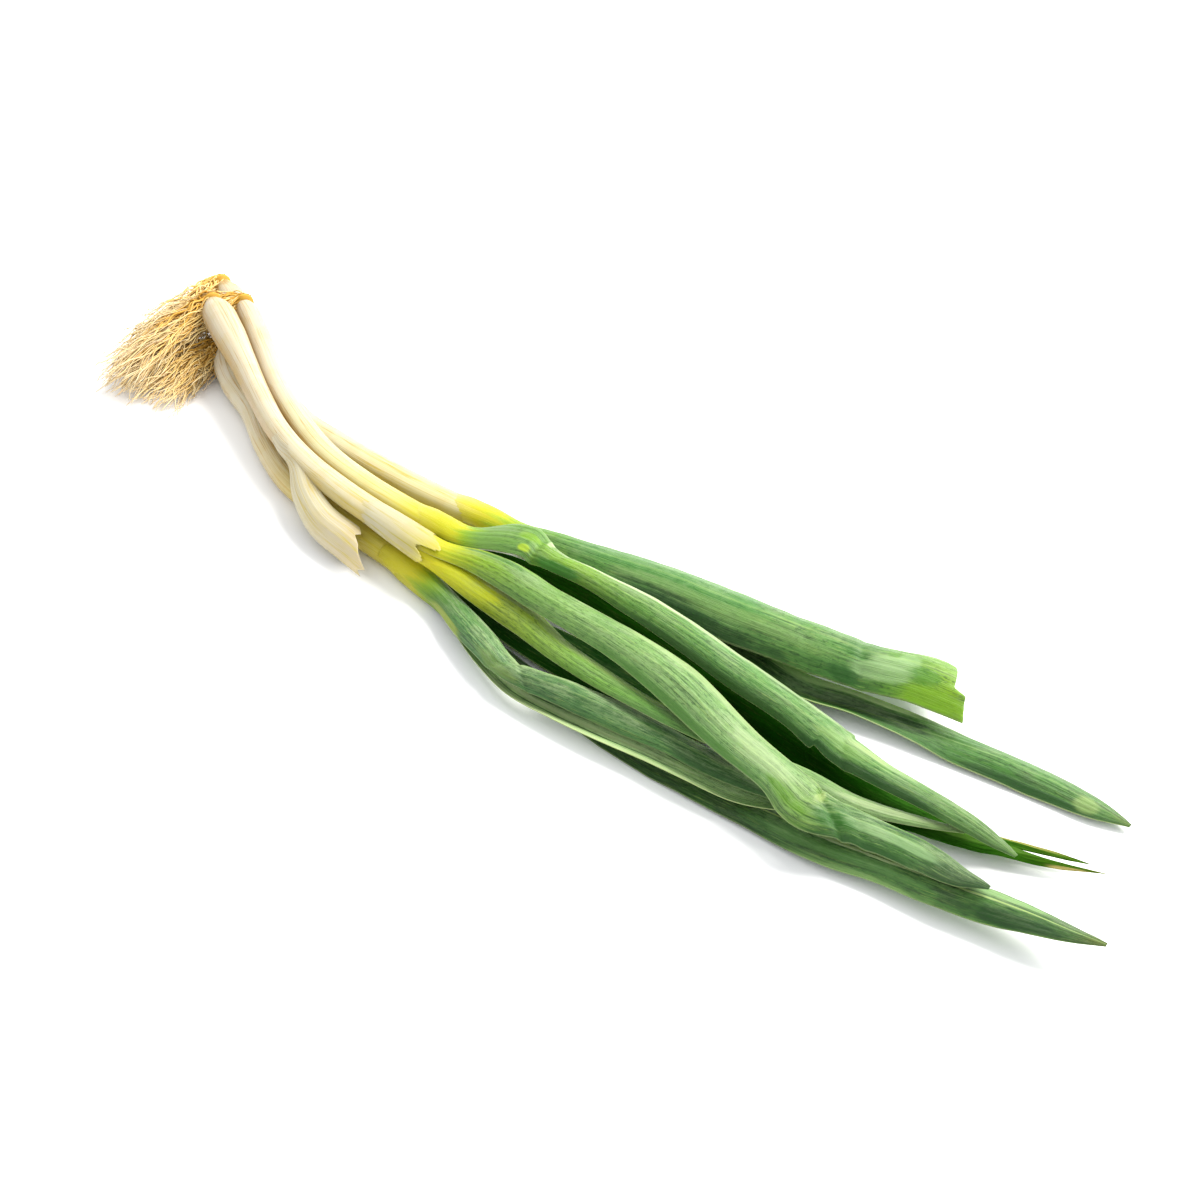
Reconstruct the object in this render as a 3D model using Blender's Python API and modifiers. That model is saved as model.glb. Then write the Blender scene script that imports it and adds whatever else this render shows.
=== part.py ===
"""A bunch of four young leeks lying on a table, roots at -X and leaf tips at +X.

Metres, +Z up, the table top at z = 0, the origin under the middle of the bunch.
Each leek is a white shank, a tuft of roots on its base, and two to four leaves.
The stations below are millimetres and degrees, chosen by hand along each piece.
"""
import math

import bmesh
import bpy
import numpy as np

MM = 0.001

LEAF_THICKNESS = 1.0 * MM
SHEATH_THICKNESS = 0.8 * MM
GAP = 0.3 * MM
LEAF_ROWS = 20
LEAF_COLUMNS = 7
SHANK_ROWS = 20
SHANK_SIDES = 12
FOOT_LENGTH = 32.0 * MM
FOOT_ROWS = 6

ROOTS_PER_LEEK = 26
ROOT_TRIES = 2500
ROOT_POINTS = 5
ROOT_SIDES = 3
ROOT_RADIUS = 0.7 * MM
ROOT_CLEARANCE = 1.5 * MM
ROOT_CIRCLE = 3.0
SHANK_CLEARANCE = 1.5
DENSE_POINTS = 40
FREE_POINTS = 7
PLATE_RADIUS = 3.6 * MM
PLATE_DEPTH = 2.4 * MM
SEED = 12

# Of a root's DENSE_POINTS, the first FREE_POINTS lie in the base and may meet others there.
# ROOT_CIRCLE, the circle that roots start in, and SHANK_CLEARANCE are in millimetres.

# How far everything moves from its stations, to bring the middle of its box to the origin.
MIDDLE = (6.0 * MM, -2.3 * MM, 0.0)

# Shank stations: x, y, z, half width, half height. The four twist round each other.
SHANKS = {
    "leek_1": [
        (-187, 25, 6.4, 3.4, 3.6), (-182, 21.4, 6, 5.8, 5.2), (-171, 13.6, 6, 6.2, 5.3),
        (-154, 5.4, 5.4, 5.2, 5.0), (-136, -5.8, 5.2, 5.0, 4.8), (-117, -14.4, 4.8, 5.0, 4.7),
        (-98, -18, 4.0, 4.7, 4.5), (-78, -20, 3.8, 4.4, 4.4), (-60, -22, 4.0, 4.3, 4.4),
        (-41, -26, 4.6, 4.2, 4.3),
    ],
    "leek_2": [
        (-199, 31, 16.6, 3.2, 3.2), (-194, 28, 17.2, 5.4, 5.2), (-183, 22, 17.4, 6.0, 5.6),
        (-166, 13, 16.6, 4.9, 4.7), (-148, 3, 15.4, 4.3, 4.3), (-130, -6, 14.6, 4.2, 4.2),
        (-112, -12, 14.2, 4.4, 4.0), (-90, -16, 14, 4.8, 4.0), (-70, -18, 14, 5.2, 3.8),
        (-50, -20, 14, 5.4, 3.6),
    ],
    "leek_3": [
        (-191, 38.4, 15.4, 3.0, 3.0), (-187, 36.3, 15.3, 4.2, 4.2), (-180, 32.4, 14.7, 4.4, 4.4),
        (-166, 24.2, 13.4, 4.2, 4.2), (-150, 14.3, 12.6, 4.1, 4.1), (-132, 5.3, 12, 4.2, 4.2),
        (-112, -2.4, 12, 4.3, 4.2), (-90, -6.1, 12, 4.3, 4.0), (-68, -7.8, 12.6, 4.5, 3.8),
        (-48, -8.4, 13.2, 4.9, 3.6),
    ],
    "leek_4": [
        (-214, 50, 8, 3.0, 3.2), (-209, 48, 7, 5.2, 5.2), (-196, 41, 5.2, 4.8, 4.8),
        (-176, 30, 4.2, 4.2, 4.2), (-156, 20, 4, 4.1, 4.1), (-136, 12.6, 4.2, 4.6, 4.4),
        (-116, 9.8, 4.8, 5.0, 5.1), (-96, 8.6, 5.0, 5.4, 5.4), (-72, 9, 5.0, 5.5, 5.4),
        (-46, 11.4, 5.3, 5.2, 4.7),
    ],
}

# Leaf stations: x, y, z of the crest, half width, fold at the edges, roll about the length.
# A positive fold droops both edges and a negative one lifts them. A negative roll
# lowers the edge on the -Y side.
LEAVES = {
    "leek_1_leaf_1": [
        (-52, -26, 7, 2.0, 20, 0), (-40, -28, 7.6, 3.0, 30, -5), (-24, -33.5, 9.8, 4.6, 40, -12),
        (-9, -39, 11, 4.8, 42, -12), (5, -43.6, 11, 4.0, 40, -12), (30, -40.6, 11, 5.2, 38, -12),
        (48, -38, 10.4, 5.3, 35, -10), (66, -36.8, 10, 4.6, 32, -8), (85, -36, 10, 4.6, 28, -6),
        (104, -35, 10.4, 3.0, 20, -5), (115, -35, 10, 0.8, 15, -5),
    ],
    "leek_1_leaf_2": [
        (-50, -27, 4, 1.6, 10, 0), (-38, -29.5, 4, 2.4, 0, -5), (-22, -34, 3.6, 3.0, -20, -8),
        (-6, -40.4, 3.6, 3.4, -30, -8), (10, -45, 3.6, 3.7, -35, -8), (28, -45, 3.8, 4.0, -38, -8),
        (45, -43.6, 4.2, 4.4, -38, -8), (61, -42, 5, 4.4, -38, -8), (78, -41.4, 5.8, 4.2, -35, -8),
        (96, -40, 6.4, 3.4, -25, -8), (112, -35, 7, 0.8, -10, -5),
    ],
    "leek_1_leaf_3": [
        (-48, -27, 1.6, 1.6, 0, 0), (-36, -27, 1.1, 2.4, 0, 0), (-5, -33, 0.8, 3.6, 5, 0),
        (20, -37, 0.8, 4.4, 8, 0), (52, -40, 1.2, 5.8, 12, 0), (81, -39.6, 2.4, 6.4, 20, 0),
        (103, -38.4, 4.4, 7.0, 28, -4), (125, -37.5, 6.2, 7.8, 35, -4), (145, -34.8, 8, 6.8, 40, -4),
        (164, -33, 9.4, 6.8, 42, -4), (180, -30.3, 10.2, 6.6, 42, -4), (195, -28, 10.6, 5.2, 38, 0),
        (207, -26.6, 11, 2.8, 30, 0), (215, -25, 11, 0.8, 15, 0),
    ],
    "leek_1_leaf_4": [
        (-50, -23.4, 5.2, 1.6, 10, 0), (-38, -22.6, 5.2, 2.4, 15, 0), (-18, -22.5, 5.0, 6.0, 18, -3),
        (8, -22.4, 5.2, 8.6, 20, -4), (36, -22.2, 5, 8.6, 20, -4), (64, -21.5, 5, 6.5, 20, -4),
        (86, -21, 5, 0.8, 10, 0),
    ],
    "leek_2_leaf_1": [
        (-62, -18, 15.2, 2.0, 20, 0), (-50, -18, 15.8, 3.0, 30, -5), (-38, -17, 17.5, 4.2, 40, -10),
        (-22, -17.2, 20, 5.6, 42, -12), (4, -20.2, 21.6, 5.6, 40, -12), (30, -20.9, 22, 6.3, 38, -12),
        (58, -24.6, 22, 7.6, 36, -12), (86, -32.2, 21, 7.0, 34, -12), (106, -35.4, 19.2, 6.6, 32, -10),
        (120, -37.8, 17, 8.2, 32, -8), (131, -33.8, 15.5, 6.6, 42, -4), (143, -30.8, 14.5, 6.4, 48, 0),
        (157, -29.6, 14, 6.0, 48, 0), (170, -30.4, 13.6, 3.6, 42, 0), (178, -29.4, 13.2, 0.8, 20, 0),
    ],
    "leek_2_leaf_2": [
        (-62, -21.5, 12.6, 2.0, 30, 0), (-50, -22, 13, 3.0, 45, -10), (-38, -22, 13.6, 4.2, 55, -15),
        (-22, -23.5, 14, 5.0, 58, -12), (-4, -25, 14, 5.4, 58, -12), (14, -29, 14, 4.3, 58, -12),
        (32, -31.2, 14.1, 4.0, 48, -10), (50, -32.2, 14.2, 3.4, 40, -4), (70, -32.2, 14.2, 2.8, 36, 0),
        (90, -28.8, 13.4, 3.2, 36, 0), (108, -24.8, 12, 3.6, 36, 0), (124, -22, 9.4, 3.6, 36, 0),
        (138, -18, 8.8, 2.8, 32, 0), (149, -14, 8.6, 1.8, 28, 0), (157, -11, 8.6, 0.8, 20, 0),
    ],
    "leek_3_leaf_1": [
        (-60, -8, 14.2, 2.4, 20, 0), (-49, -8.4, 15, 4.4, 25, 0), (-38, -6.0, 18.2, 6.0, 25, -3),
        (-28, -3.8, 20.6, 6.8, 18, -5), (-20, -2.6, 21.6, 6.6, 18, -6), (-13, -4.0, 22, 5.0, 38, -8),
        (8, -3.2, 22, 4.1, 48, -10),
        (24, -3.4, 22, 5.1, 50, -12), (46, -4.2, 21, 5.6, 52, -12), (68, -6.6, 20, 5.9, 52, -12),
        (92, -8.8, 19, 5.6, 52, -10), (110, -10.8, 17.5, 6.8, 50, -8), (124, -11.2, 16, 5.2, 50, -6),
        (140, -10.1, 14, 4.3, 48, -4), (158, -9.4, 12, 3.6, 42, 0), (168, -10.4, 11, 2.4, 35, 0),
        (175, -11, 10, 0.8, 20, 0),
    ],
    "leek_3_leaf_2": [
        (-58, -8, 10.8, 2.0, 0, 0), (-46, -7, 10.4, 2.8, 10, 0), (-14, -2, 8.6, 5.2, 20, -5),
        (11, -2, 7.6, 6.4, 25, -5), (39, -5, 6.8, 6.8, 28, -5), (66, -7.6, 6.4, 6.8, 28, -5),
        (90, -10, 6, 6.6, 28, -5), (114, -12.6, 5.6, 6.2, 28, -5), (134, -13, 5, 5.6, 28, 0),
        (150, -10.2, 4.8, 5.0, 28, 0), (166, -4.9, 4.6, 4.4, 25, 0), (181, 0.4, 4, 3.2, 15, 0),
        (196, 7, 3, 1.6, 10, 0),
    ],
    "leek_4_leaf_1": [
        (-58, 12, 7.2, 2.4, 20, 0), (-46, 11, 8, 3.4, 30, 0), (-26, 12, 12, 6.2, 38, 0),
        (0, 15, 14.5, 9.4, 42, 0), (24, 19.4, 15.5, 11.0, 45, 0), (48, 21.8, 16, 11.6, 46, 0),
        (72, 25.6, 16, 11.2, 46, 0), (92, 29.2, 15.8, 10.7, 44, 0), (108, 35.2, 15.2, 11.6, 40, 0),
        (128, 38.6, 14.4, 11.8, 36, 0),
    ],
    "leek_4_leaf_2": [
        (-54, 12, 3.4, 2.0, 0, 0), (-42, 12.5, 3, 2.8, 0, 0), (-4, 15.5, 1.6, 4.6, -20, 0),
        (30, 14.5, 1.2, 5.2, -35, 0), (56, 14.5, 1.2, 5.4, -48, 0), (77, 12.8, 1.6, 5.6, -48, 0),
        (96, 17.2, 2.2, 5.2, -40, 0), (114, 20.8, 3, 5.6, -10, 0), (131, 23.6, 4, 6.6, 25, 0),
        (148, 26, 4.6, 6.6, 38, 0), (165, 27.6, 4.2, 6.0, 38, 0), (180, 28, 3.4, 4.0, 30, 0),
        (190, 28.5, 2.2, 0.8, 20, 0),
    ],
    "leek_2_sheath": [
        (-126, -10, 16.4, 1.6, 20, -20), (-114, -15.6, 15.8, 3.6, 40, -30), (-102, -23.5, 12.8, 4.9, 48, -33),
        (-90, -28.6, 11.1, 5.8, 50, -35), (-76, -30.5, 10.0, 6.2, 48, -36), (-63, -32.6, 8.8, 5.6, 45, -35),
    ],
}

# How sharp each leaf's keel is: small is a fold, large is a round gutter.
KEELS = {
    "leek_1_leaf_2": 0.3, "leek_2_leaf_2": 2.0, "leek_3_leaf_1": 0.8,
    "leek_4_leaf_1": 0.35, "leek_4_leaf_2": 0.3,
}
KEEL = 1.0

# Ragged ends: how far short of its tip each column of the blade stops, in millimetres, and
# the share of the length from which its columns begin to fall behind.
RAGGED_FROM = 0.45
ENDS = {
    "leek_4_leaf_1": (19, 13, 10.5, 9, 7.5, 2, 0),
    "leek_2_sheath": (14, 11, 10, 6, 4, 0, 2),
    "leek_3_leaf_2": (6, 7, 12, 14, 0, 0, 0),
}

# Root tufts: the middle of the base, the way the shank points there, the middle of the
# fan of tips on the table, and the fan's half spread along X and Y.
TUFTS = {
    "leek_1": ((-188.4, 26.2, 6.4), (-0.86, 0.5, 0), (-186, -7, 3), (11, 7)),
    "leek_2": ((-200.6, 32.0, 16.6), (-0.86, 0.5, 0), (-207, -10, 7), (9, 8)),
    "leek_3": ((-192.5, 39.8, 15.4), (-0.78, 0.62, 0), (-213, 8, 11), (7, 13)),
    "leek_4": ((-215.8, 50.7, 8), (-0.93, 0.37, 0), (-221, 18, 3), (6, 15)),
}

WHITE = (0.82, 0.78, 0.62)
STRAW = (0.55, 0.38, 0.15)
GREENS = ((0.14, 0.33, 0.10), (0.20, 0.42, 0.15), (0.10, 0.25, 0.08))


def clear_scene():
    """Remove whatever the file opens with."""
    for item in list(bpy.data.objects):
        bpy.data.objects.remove(item, do_unlink=True)


def new_collection(name):
    collection = bpy.data.collections.new(name)
    bpy.context.scene.collection.children.link(collection)
    return collection


def material(name, colour, roughness):
    finish = bpy.data.materials.new(name)
    finish.use_nodes = True
    shader = finish.node_tree.nodes["Principled BSDF"]
    shader.inputs["Base Color"].default_value = (*colour, 1)
    shader.inputs["Roughness"].default_value = roughness
    shader.inputs["Metallic"].default_value = 0.0
    return finish


def mesh_object(name, points, faces, collection):
    """One object from a list of points in metres and the faces between them."""
    mesh = bpy.data.meshes.new(name)
    mesh.from_pydata([tuple(map(float, point)) for point in points], [], faces)
    mesh.validate()
    body = bpy.data.objects.new(name, mesh)
    collection.objects.link(body)
    return body


def read_curve(stations, spots):
    """Rows of a smooth curve through the stations, at spots from 0 (first) to 1 (last).

    A cubic between each two stations, with the slope at a station taken from its neighbours.
    """
    rows = np.array(stations, dtype=float)
    steps = np.linalg.norm(np.diff(rows[:, :3], axis=0), axis=1)
    marks = np.concatenate(([0.0], np.cumsum(steps)))
    slopes = np.gradient(rows, marks, axis=0)
    at = np.clip(spots, 0.0, 1.0) * marks[-1]
    first = np.clip(np.searchsorted(marks, at, side="right") - 1, 0, len(marks) - 2)
    span = (marks[first + 1] - marks[first])[..., None]
    part = (at - marks[first])[..., None] / span
    rise = part * part * (3 - 2 * part)
    return (
        rows[first] * (1 - rise) + rows[first + 1] * rise
        + slopes[first] * span * part * (1 - part) ** 2
        - slopes[first + 1] * span * part * part * (1 - part)
    )


def unit(vectors):
    return vectors / np.linalg.norm(vectors, axis=-1, keepdims=True)


def frames(stations, spots):
    """The directions ahead, sideways (towards -Y) and up along the curve."""
    nudge = 0.01
    later = read_curve(stations, spots + nudge)[..., :3]
    earlier = read_curve(stations, spots - nudge)[..., :3]
    ahead = unit(later - earlier)
    side = unit(np.cross(ahead, (0.0, 0.0, 1.0)))
    return ahead, side, np.cross(side, ahead)


def fold_section(across, fold, keel):
    """Offset sideways and down of a point on a folded section, as shares of its half width.

    The section's slope grows from 0 at the crest to the fold angle at the edge, fast for
    a sharp keel and slowly for a round one. The offsets are that slope's running means.
    """
    samples = (np.arange(24) + 0.5) / 24
    reach = np.abs(across)[..., None] * samples
    angle = fold[..., None] * (1 - np.exp(-reach / keel)) / (1 - math.exp(-1 / keel))
    full = fold[..., None] * (1 - np.exp(-samples / keel)) / (1 - math.exp(-1 / keel))
    width = np.cos(full).mean(axis=-1)
    return (
        across * np.cos(angle).mean(axis=-1) / width,
        np.abs(across) * np.sin(angle).mean(axis=-1) / width,
    )


def blade_points(name, spots, grow):
    """Grid of points, in metres, on the middle surface of a blade, a row for each spot."""
    stations = LEAVES[name]
    across = np.linspace(-1.0, 1.0, LEAF_COLUMNS)[None, :]
    spots = spots[:, None] + 0.0 * across
    if name in ENDS:
        short = np.array(ENDS[name]) / blade_length(name)
        spots = spots - short * np.clip((spots - RAGGED_FROM) / (1 - RAGGED_FROM), 0, 1) ** 2
    curve = read_curve(stations, spots)
    _, side, up = frames(stations, spots)
    roll = np.radians(curve[..., 5:6])
    side, up = side * np.cos(roll) + up * np.sin(roll), up * np.cos(roll) - side * np.sin(roll)
    sideways, down = fold_section(across, np.radians(curve[..., 4]), KEELS.get(name, KEEL))
    half = (curve[..., 3] * MM + grow)[..., None]
    points = curve[..., :3] * MM + side * half * sideways[..., None] - up * half * down[..., None]
    return points


def blade(name, thickness, collection):
    """A leaf: its middle surface, split into triangles, then given its thickness."""
    foot = np.linspace(0, foot_share(name), FOOT_ROWS)
    spots = np.concatenate((foot[:-1], np.linspace(foot[-1], 1, LEAF_ROWS - FOOT_ROWS + 1)))
    points = blade_points(name, spots, 0.0)
    points[..., 2] = np.maximum(points[..., 2], thickness / 2)
    return thick_sheet(name, points, thickness, collection)


def blade_length(name):
    return np.sum(np.linalg.norm(np.diff(np.array(LEAVES[name])[:, :3], axis=0), axis=1))


def foot_share(name):
    """The share of a leaf's length that stands in or near its shank."""
    return FOOT_LENGTH / (blade_length(name) * MM)


def thick_sheet(name, points, thickness, collection):
    """A grid of points as a sheet with a wall, both faces split into the same triangles."""
    rows, columns = points.shape[:2]
    faces = [
        (row * columns + column, (row + 1) * columns + column,
         (row + 1) * columns + column + 1, row * columns + column + 1)
        for row in range(rows - 1) for column in range(columns - 1)
    ]
    sheet = mesh_object(name, points.reshape(-1, 3), faces, collection)
    split = sheet.modifiers.new("Triangles", "TRIANGULATE")
    split.quad_method = "FIXED"
    wall = sheet.modifiers.new("Wall", "SOLIDIFY")
    wall.thickness = thickness
    wall.offset = 0.0
    return sheet


def tube(name, centres, half_wide, half_high, side, up, sides, collection, floor=None):
    """Oval sections along a path, an edge of each at the bottom, closed by a fan at each end."""
    turn = (np.arange(sides) + 0.5) / sides * 2 * math.pi
    rings = (
        centres[:, None, :]
        + side[:, None, :] * (half_wide[:, None] * np.cos(turn))[..., None]
        + up[:, None, :] * (half_high[:, None] * np.sin(turn))[..., None]
    )
    rows = len(centres)
    points = np.concatenate((rings.reshape(-1, 3), centres[:1], centres[-1:]))
    if floor is not None:
        points[:, 2] = np.maximum(points[:, 2], floor)
    faces = [
        (row * sides + at, row * sides + (at + 1) % sides,
         (row + 1) * sides + (at + 1) % sides, (row + 1) * sides + at)
        for row in range(rows - 1) for at in range(sides)
    ]
    last = (rows - 1) * sides
    faces += [(rows * sides, (at + 1) % sides, at) for at in range(sides)]
    faces += [(rows * sides + 1, last + at, last + (at + 1) % sides) for at in range(sides)]
    return mesh_object(name, points, faces, collection)


def shank(leek, collection):
    """The white shank, flat underneath where it lies on the table."""
    spots = np.linspace(0, 1, SHANK_ROWS) ** 1.15
    curve = read_curve(SHANKS[leek], spots)
    _, side, up = frames(SHANKS[leek], spots)
    return tube(
        f"{leek}_shank", curve[:, :3] * MM, curve[:, 3] * MM, curve[:, 4] * MM,
        side, up, SHANK_SIDES, collection, floor=0.0,
    )


def cut_slot(body, leaf, thickness, cutters):
    """Cut the slot in a shank that holds the foot of a leaf, a little larger than the leaf."""
    points = blade_points(leaf, np.linspace(0, foot_share(leaf), FOOT_ROWS), GAP)
    ahead = unit(points[1:2] - points[0:1])
    points = np.concatenate((points[0:1] - ahead * GAP, points[1:]))
    cutter = thick_sheet(f"{leaf}_slot", points, thickness + 2 * GAP, cutters)
    cutter.display_type = "WIRE"
    cutter.hide_render = True
    cut = body.modifiers.new(f"Slot {leaf}", "BOOLEAN")
    cut.operation = "DIFFERENCE"
    cut.object = cutter


def root_path(tuft, draw):
    """One root: out of the base along the shank, over, and down to its place in the fan."""
    base, outward, target, spread = (np.array(item, dtype=float) for item in tuft)
    outward = unit(outward)
    across = np.array((-outward[1], outward[0], 0.0))
    angle = draw.uniform(0, 2 * math.pi)
    radius = math.sqrt(draw.uniform(0, 1)) * ROOT_CIRCLE
    start = base + across * radius * math.cos(angle)
    start[2] += radius * math.sin(angle)
    tip = target.copy()
    tip[:2] += spread * draw.uniform(-1, 1, 2)
    tip[2] = max(1.0, tip[2] + draw.uniform(-3, 3))
    lead = start + outward * draw.uniform(2, 8) + (0, 0, draw.uniform(-1, 2))
    sag = (lead + tip) / 2 + draw.normal(0, 2.0, 3)
    sag[2] = max(1.4, sag[2])
    along = np.linspace(0, 1, ROOT_POINTS)[:, None]
    path = (
        start * (1 - along) ** 3 + 3 * lead * along * (1 - along) ** 2
        + 3 * sag * along ** 2 * (1 - along) + tip * along ** 3
    ) * MM
    path[:, 2] = np.maximum(path[:, 2], ROOT_RADIUS * 1.2)
    return path


def dense(path):
    """The same path with more points, for measuring distances."""
    marks = np.linspace(0, len(path) - 1, DENSE_POINTS)
    return np.stack([np.interp(marks, np.arange(len(path)), path[:, k]) for k in range(3)], axis=1)


def is_clear(path, occupied):
    """Whether a path, past its start in the base, keeps away from what others have taken."""
    points = dense(path)[FREE_POINTS:]
    return all(
        (np.linalg.norm(points[:, None] - centres[None], axis=2) > reach).all()
        for centres, reach in occupied
    )


def root_tuft(leek, occupied, draw, collection):
    """The basal plate with its roots, fused into one body."""
    tuft = TUFTS[leek]
    base = np.array(tuft[0]) * MM
    outward = unit(np.array(tuft[1], dtype=float))
    side = np.cross(outward, (0, 0, 1))
    spots = np.array((0.0, 0.5, 1.0, 1.25))
    sizes = PLATE_RADIUS * np.array((1.0, 1.0, 0.8, 0.4))
    centres = base + outward * PLATE_DEPTH * spots[:, None]
    plate = tube(
        f"{leek}_roots", centres, sizes, sizes, np.tile(side, (4, 1)),
        np.tile((0.0, 0.0, 1.0), (4, 1)), 10, collection, floor=0.0,
    )
    strands = new_collection(f"{leek} strands")
    own = []
    for _ in range(ROOT_TRIES):
        path = root_path(tuft, draw)
        if len(own) == ROOTS_PER_LEEK or not is_clear(path, occupied + own):
            continue
        own.append((dense(path), ROOT_CLEARANCE))
        taper = ROOT_RADIUS * np.linspace(1.1, 0.7, len(path))
        ahead = unit(np.gradient(path, axis=0))
        sideways = unit(np.cross(ahead, (0.3, 0.2, 1.0)))
        tube(
            f"{leek}_root_{len(own)}", path, taper, taper, sideways,
            np.cross(sideways, ahead), ROOT_SIDES, strands,
        )
    occupied.extend(own)
    fuse(plate, strands)
    return plate


def keep_largest(mesh):
    """Drop the scraps and sealed hollows that fusing leaves beside the main body."""
    shape = bmesh.new()
    shape.from_mesh(mesh)
    waiting = set(shape.verts)
    groups = []
    while waiting:
        group = {waiting.pop()}
        edge = list(group)
        while edge:
            vertex = edge.pop()
            for link in vertex.link_edges:
                other = link.other_vert(vertex)
                if other in waiting:
                    waiting.discard(other)
                    group.add(other)
                    edge.append(other)
        groups.append(group)
    groups.sort(key=len)
    scraps = [vertex for group in groups[:-1] for vertex in group]
    bmesh.ops.delete(shape, geom=scraps, context="VERTS")
    shape.to_mesh(mesh)
    shape.free()


def fuse(body, parts):
    """Join everything in a collection to the body, then drop the collection."""
    join = body.modifiers.new("Fuse", "BOOLEAN")
    join.operation = "UNION"
    join.operand_type = "COLLECTION"
    join.collection = parts
    join.solver = "EXACT"
    depsgraph = bpy.context.evaluated_depsgraph_get()
    fused = bpy.data.meshes.new_from_object(body.evaluated_get(depsgraph))
    body.modifiers.clear()
    keep_largest(fused)
    body.data = fused
    for strand in list(parts.objects):
        bpy.data.objects.remove(strand, do_unlink=True)
    bpy.data.collections.remove(parts)


def shade(body, colour, roughness):
    body.data.materials.clear()
    body.data.materials.append(material(f"{body.name} skin", colour, roughness))
    body.data.shade_smooth()
    body.data.set_sharp_from_angle(angle=math.radians(50))


def build():
    clear_scene()
    bunch = new_collection("bunch_of_leeks")
    cutters = new_collection("cutters")
    shanks = {leek: shank(leek, bunch) for leek in SHANKS}
    for number, leaf in enumerate(LEAVES):
        thickness = SHEATH_THICKNESS if leaf.endswith("sheath") else LEAF_THICKNESS
        body = blade(leaf, thickness, bunch)
        colour = WHITE if leaf.endswith("sheath") else GREENS[number % len(GREENS)]
        shade(body, colour, 0.45)
        cut_slot(shanks[leaf[:6]], leaf, thickness, cutters)
    for body in shanks.values():
        shade(body, WHITE, 0.4)
    occupied = []
    for leek, stations in SHANKS.items():
        curve = read_curve(stations, np.linspace(0, 0.4, 60))
        occupied.append((curve[:, :3] * MM, (curve[:, 3] + SHANK_CLEARANCE) * MM))
    draw = np.random.default_rng(SEED)
    for leek in SHANKS:
        shade(root_tuft(leek, occupied, draw, bunch), STRAW, 0.7)
    middle = bpy.data.objects.new("middle", None)
    middle.location = MIDDLE
    bunch.objects.link(middle)
    for body in bpy.data.objects:
        if body is not middle:
            body.parent = middle


build()
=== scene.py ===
"""Looks of a bunch of four young leeks lying on a table, roots at -X and leaf tips at +X."""

import math

import bpy
import numpy as np
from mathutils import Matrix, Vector


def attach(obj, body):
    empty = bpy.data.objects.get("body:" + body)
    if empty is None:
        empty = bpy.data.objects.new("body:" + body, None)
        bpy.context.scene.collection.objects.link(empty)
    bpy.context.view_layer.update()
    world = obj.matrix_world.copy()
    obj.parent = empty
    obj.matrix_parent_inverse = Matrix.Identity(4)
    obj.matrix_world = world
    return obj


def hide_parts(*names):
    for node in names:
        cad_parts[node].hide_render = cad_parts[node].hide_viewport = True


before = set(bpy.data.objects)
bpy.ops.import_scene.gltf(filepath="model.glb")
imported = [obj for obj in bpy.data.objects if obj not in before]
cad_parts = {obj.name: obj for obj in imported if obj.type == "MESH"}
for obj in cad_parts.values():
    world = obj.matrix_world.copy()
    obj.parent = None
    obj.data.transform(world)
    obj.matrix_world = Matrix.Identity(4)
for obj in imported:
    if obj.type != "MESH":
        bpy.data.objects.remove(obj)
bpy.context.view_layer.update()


# The camera. It looks down over the front leaves at the middle of the bunch, so that the
# roots lie at the upper left and the tips at the lower right.
CAMERA_AIM = Vector((0.006, 0.0067, 0.0))
CAMERA_TURN = math.radians(40)
CAMERA_HEIGHT = math.radians(40)
CAMERA_DISTANCE = 1.0
CAMERA_LENS = 92.3

towards_camera = Vector((
    math.sin(CAMERA_TURN) * math.cos(CAMERA_HEIGHT),
    -math.cos(CAMERA_TURN) * math.cos(CAMERA_HEIGHT),
    math.sin(CAMERA_HEIGHT),
))
camera = bpy.data.objects.new("camera", bpy.data.cameras.new("camera"))
camera.data.lens = CAMERA_LENS
camera.location = CAMERA_AIM + towards_camera * CAMERA_DISTANCE
camera.rotation_euler = (-towards_camera).to_track_quat("-Z", "Y").to_euler()
bpy.context.scene.collection.objects.link(camera)
bpy.context.scene.camera = camera


# The table: a wide matt white sheet of board. It is so brightly lit that only the soft
# shadow of the bunch shows on it.
def paint(red, green, blue):
    """A screen colour of 0 to 255 as the light it stands for: sRGB's curve undone."""
    share = np.array((red, green, blue)) / 255
    light = np.where(share <= 0.04045, share / 12.92, ((share + 0.055) / 1.055) ** 2.4)
    return tuple(float(value) for value in light)


class Wire:
    """A socket in a skin's nodes that arithmetic works on: each operation adds a Math node."""

    def __init__(self, skin, socket):
        self.skin = skin
        self.socket = socket

    def math(self, operation, *values):
        """A Math node's result for the values, which are wires or numbers."""
        return self.skin.node("ShaderNodeMath", {"operation": operation}, dict(enumerate(values)))

    def __add__(self, other):
        return self.math("ADD", self, other)

    def __radd__(self, other):
        return self.math("ADD", other, self)

    def __sub__(self, other):
        return self.math("SUBTRACT", self, other)

    def __rsub__(self, other):
        return self.math("SUBTRACT", other, self)

    def __mul__(self, other):
        return self.math("MULTIPLY", self, other)

    def __rmul__(self, other):
        return self.math("MULTIPLY", other, self)

    def __truediv__(self, other):
        return self.math("DIVIDE", self, other)

    def __abs__(self):
        return self.math("ABSOLUTE", self)

    def step(self, low, high):
        """0 at low, 1 at high and a smooth rise between; low may be the larger number."""
        return self.skin.node(
            "ShaderNodeMapRange", {"interpolation_type": "SMOOTHSTEP"},
            {"Value": self, "From Min": low, "From Max": high},
        )

    def bell(self, middle, width):
        """1 at the middle, falling to 0 at a width to either side."""
        return 1 - abs(self - middle).step(0.0, width)


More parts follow.
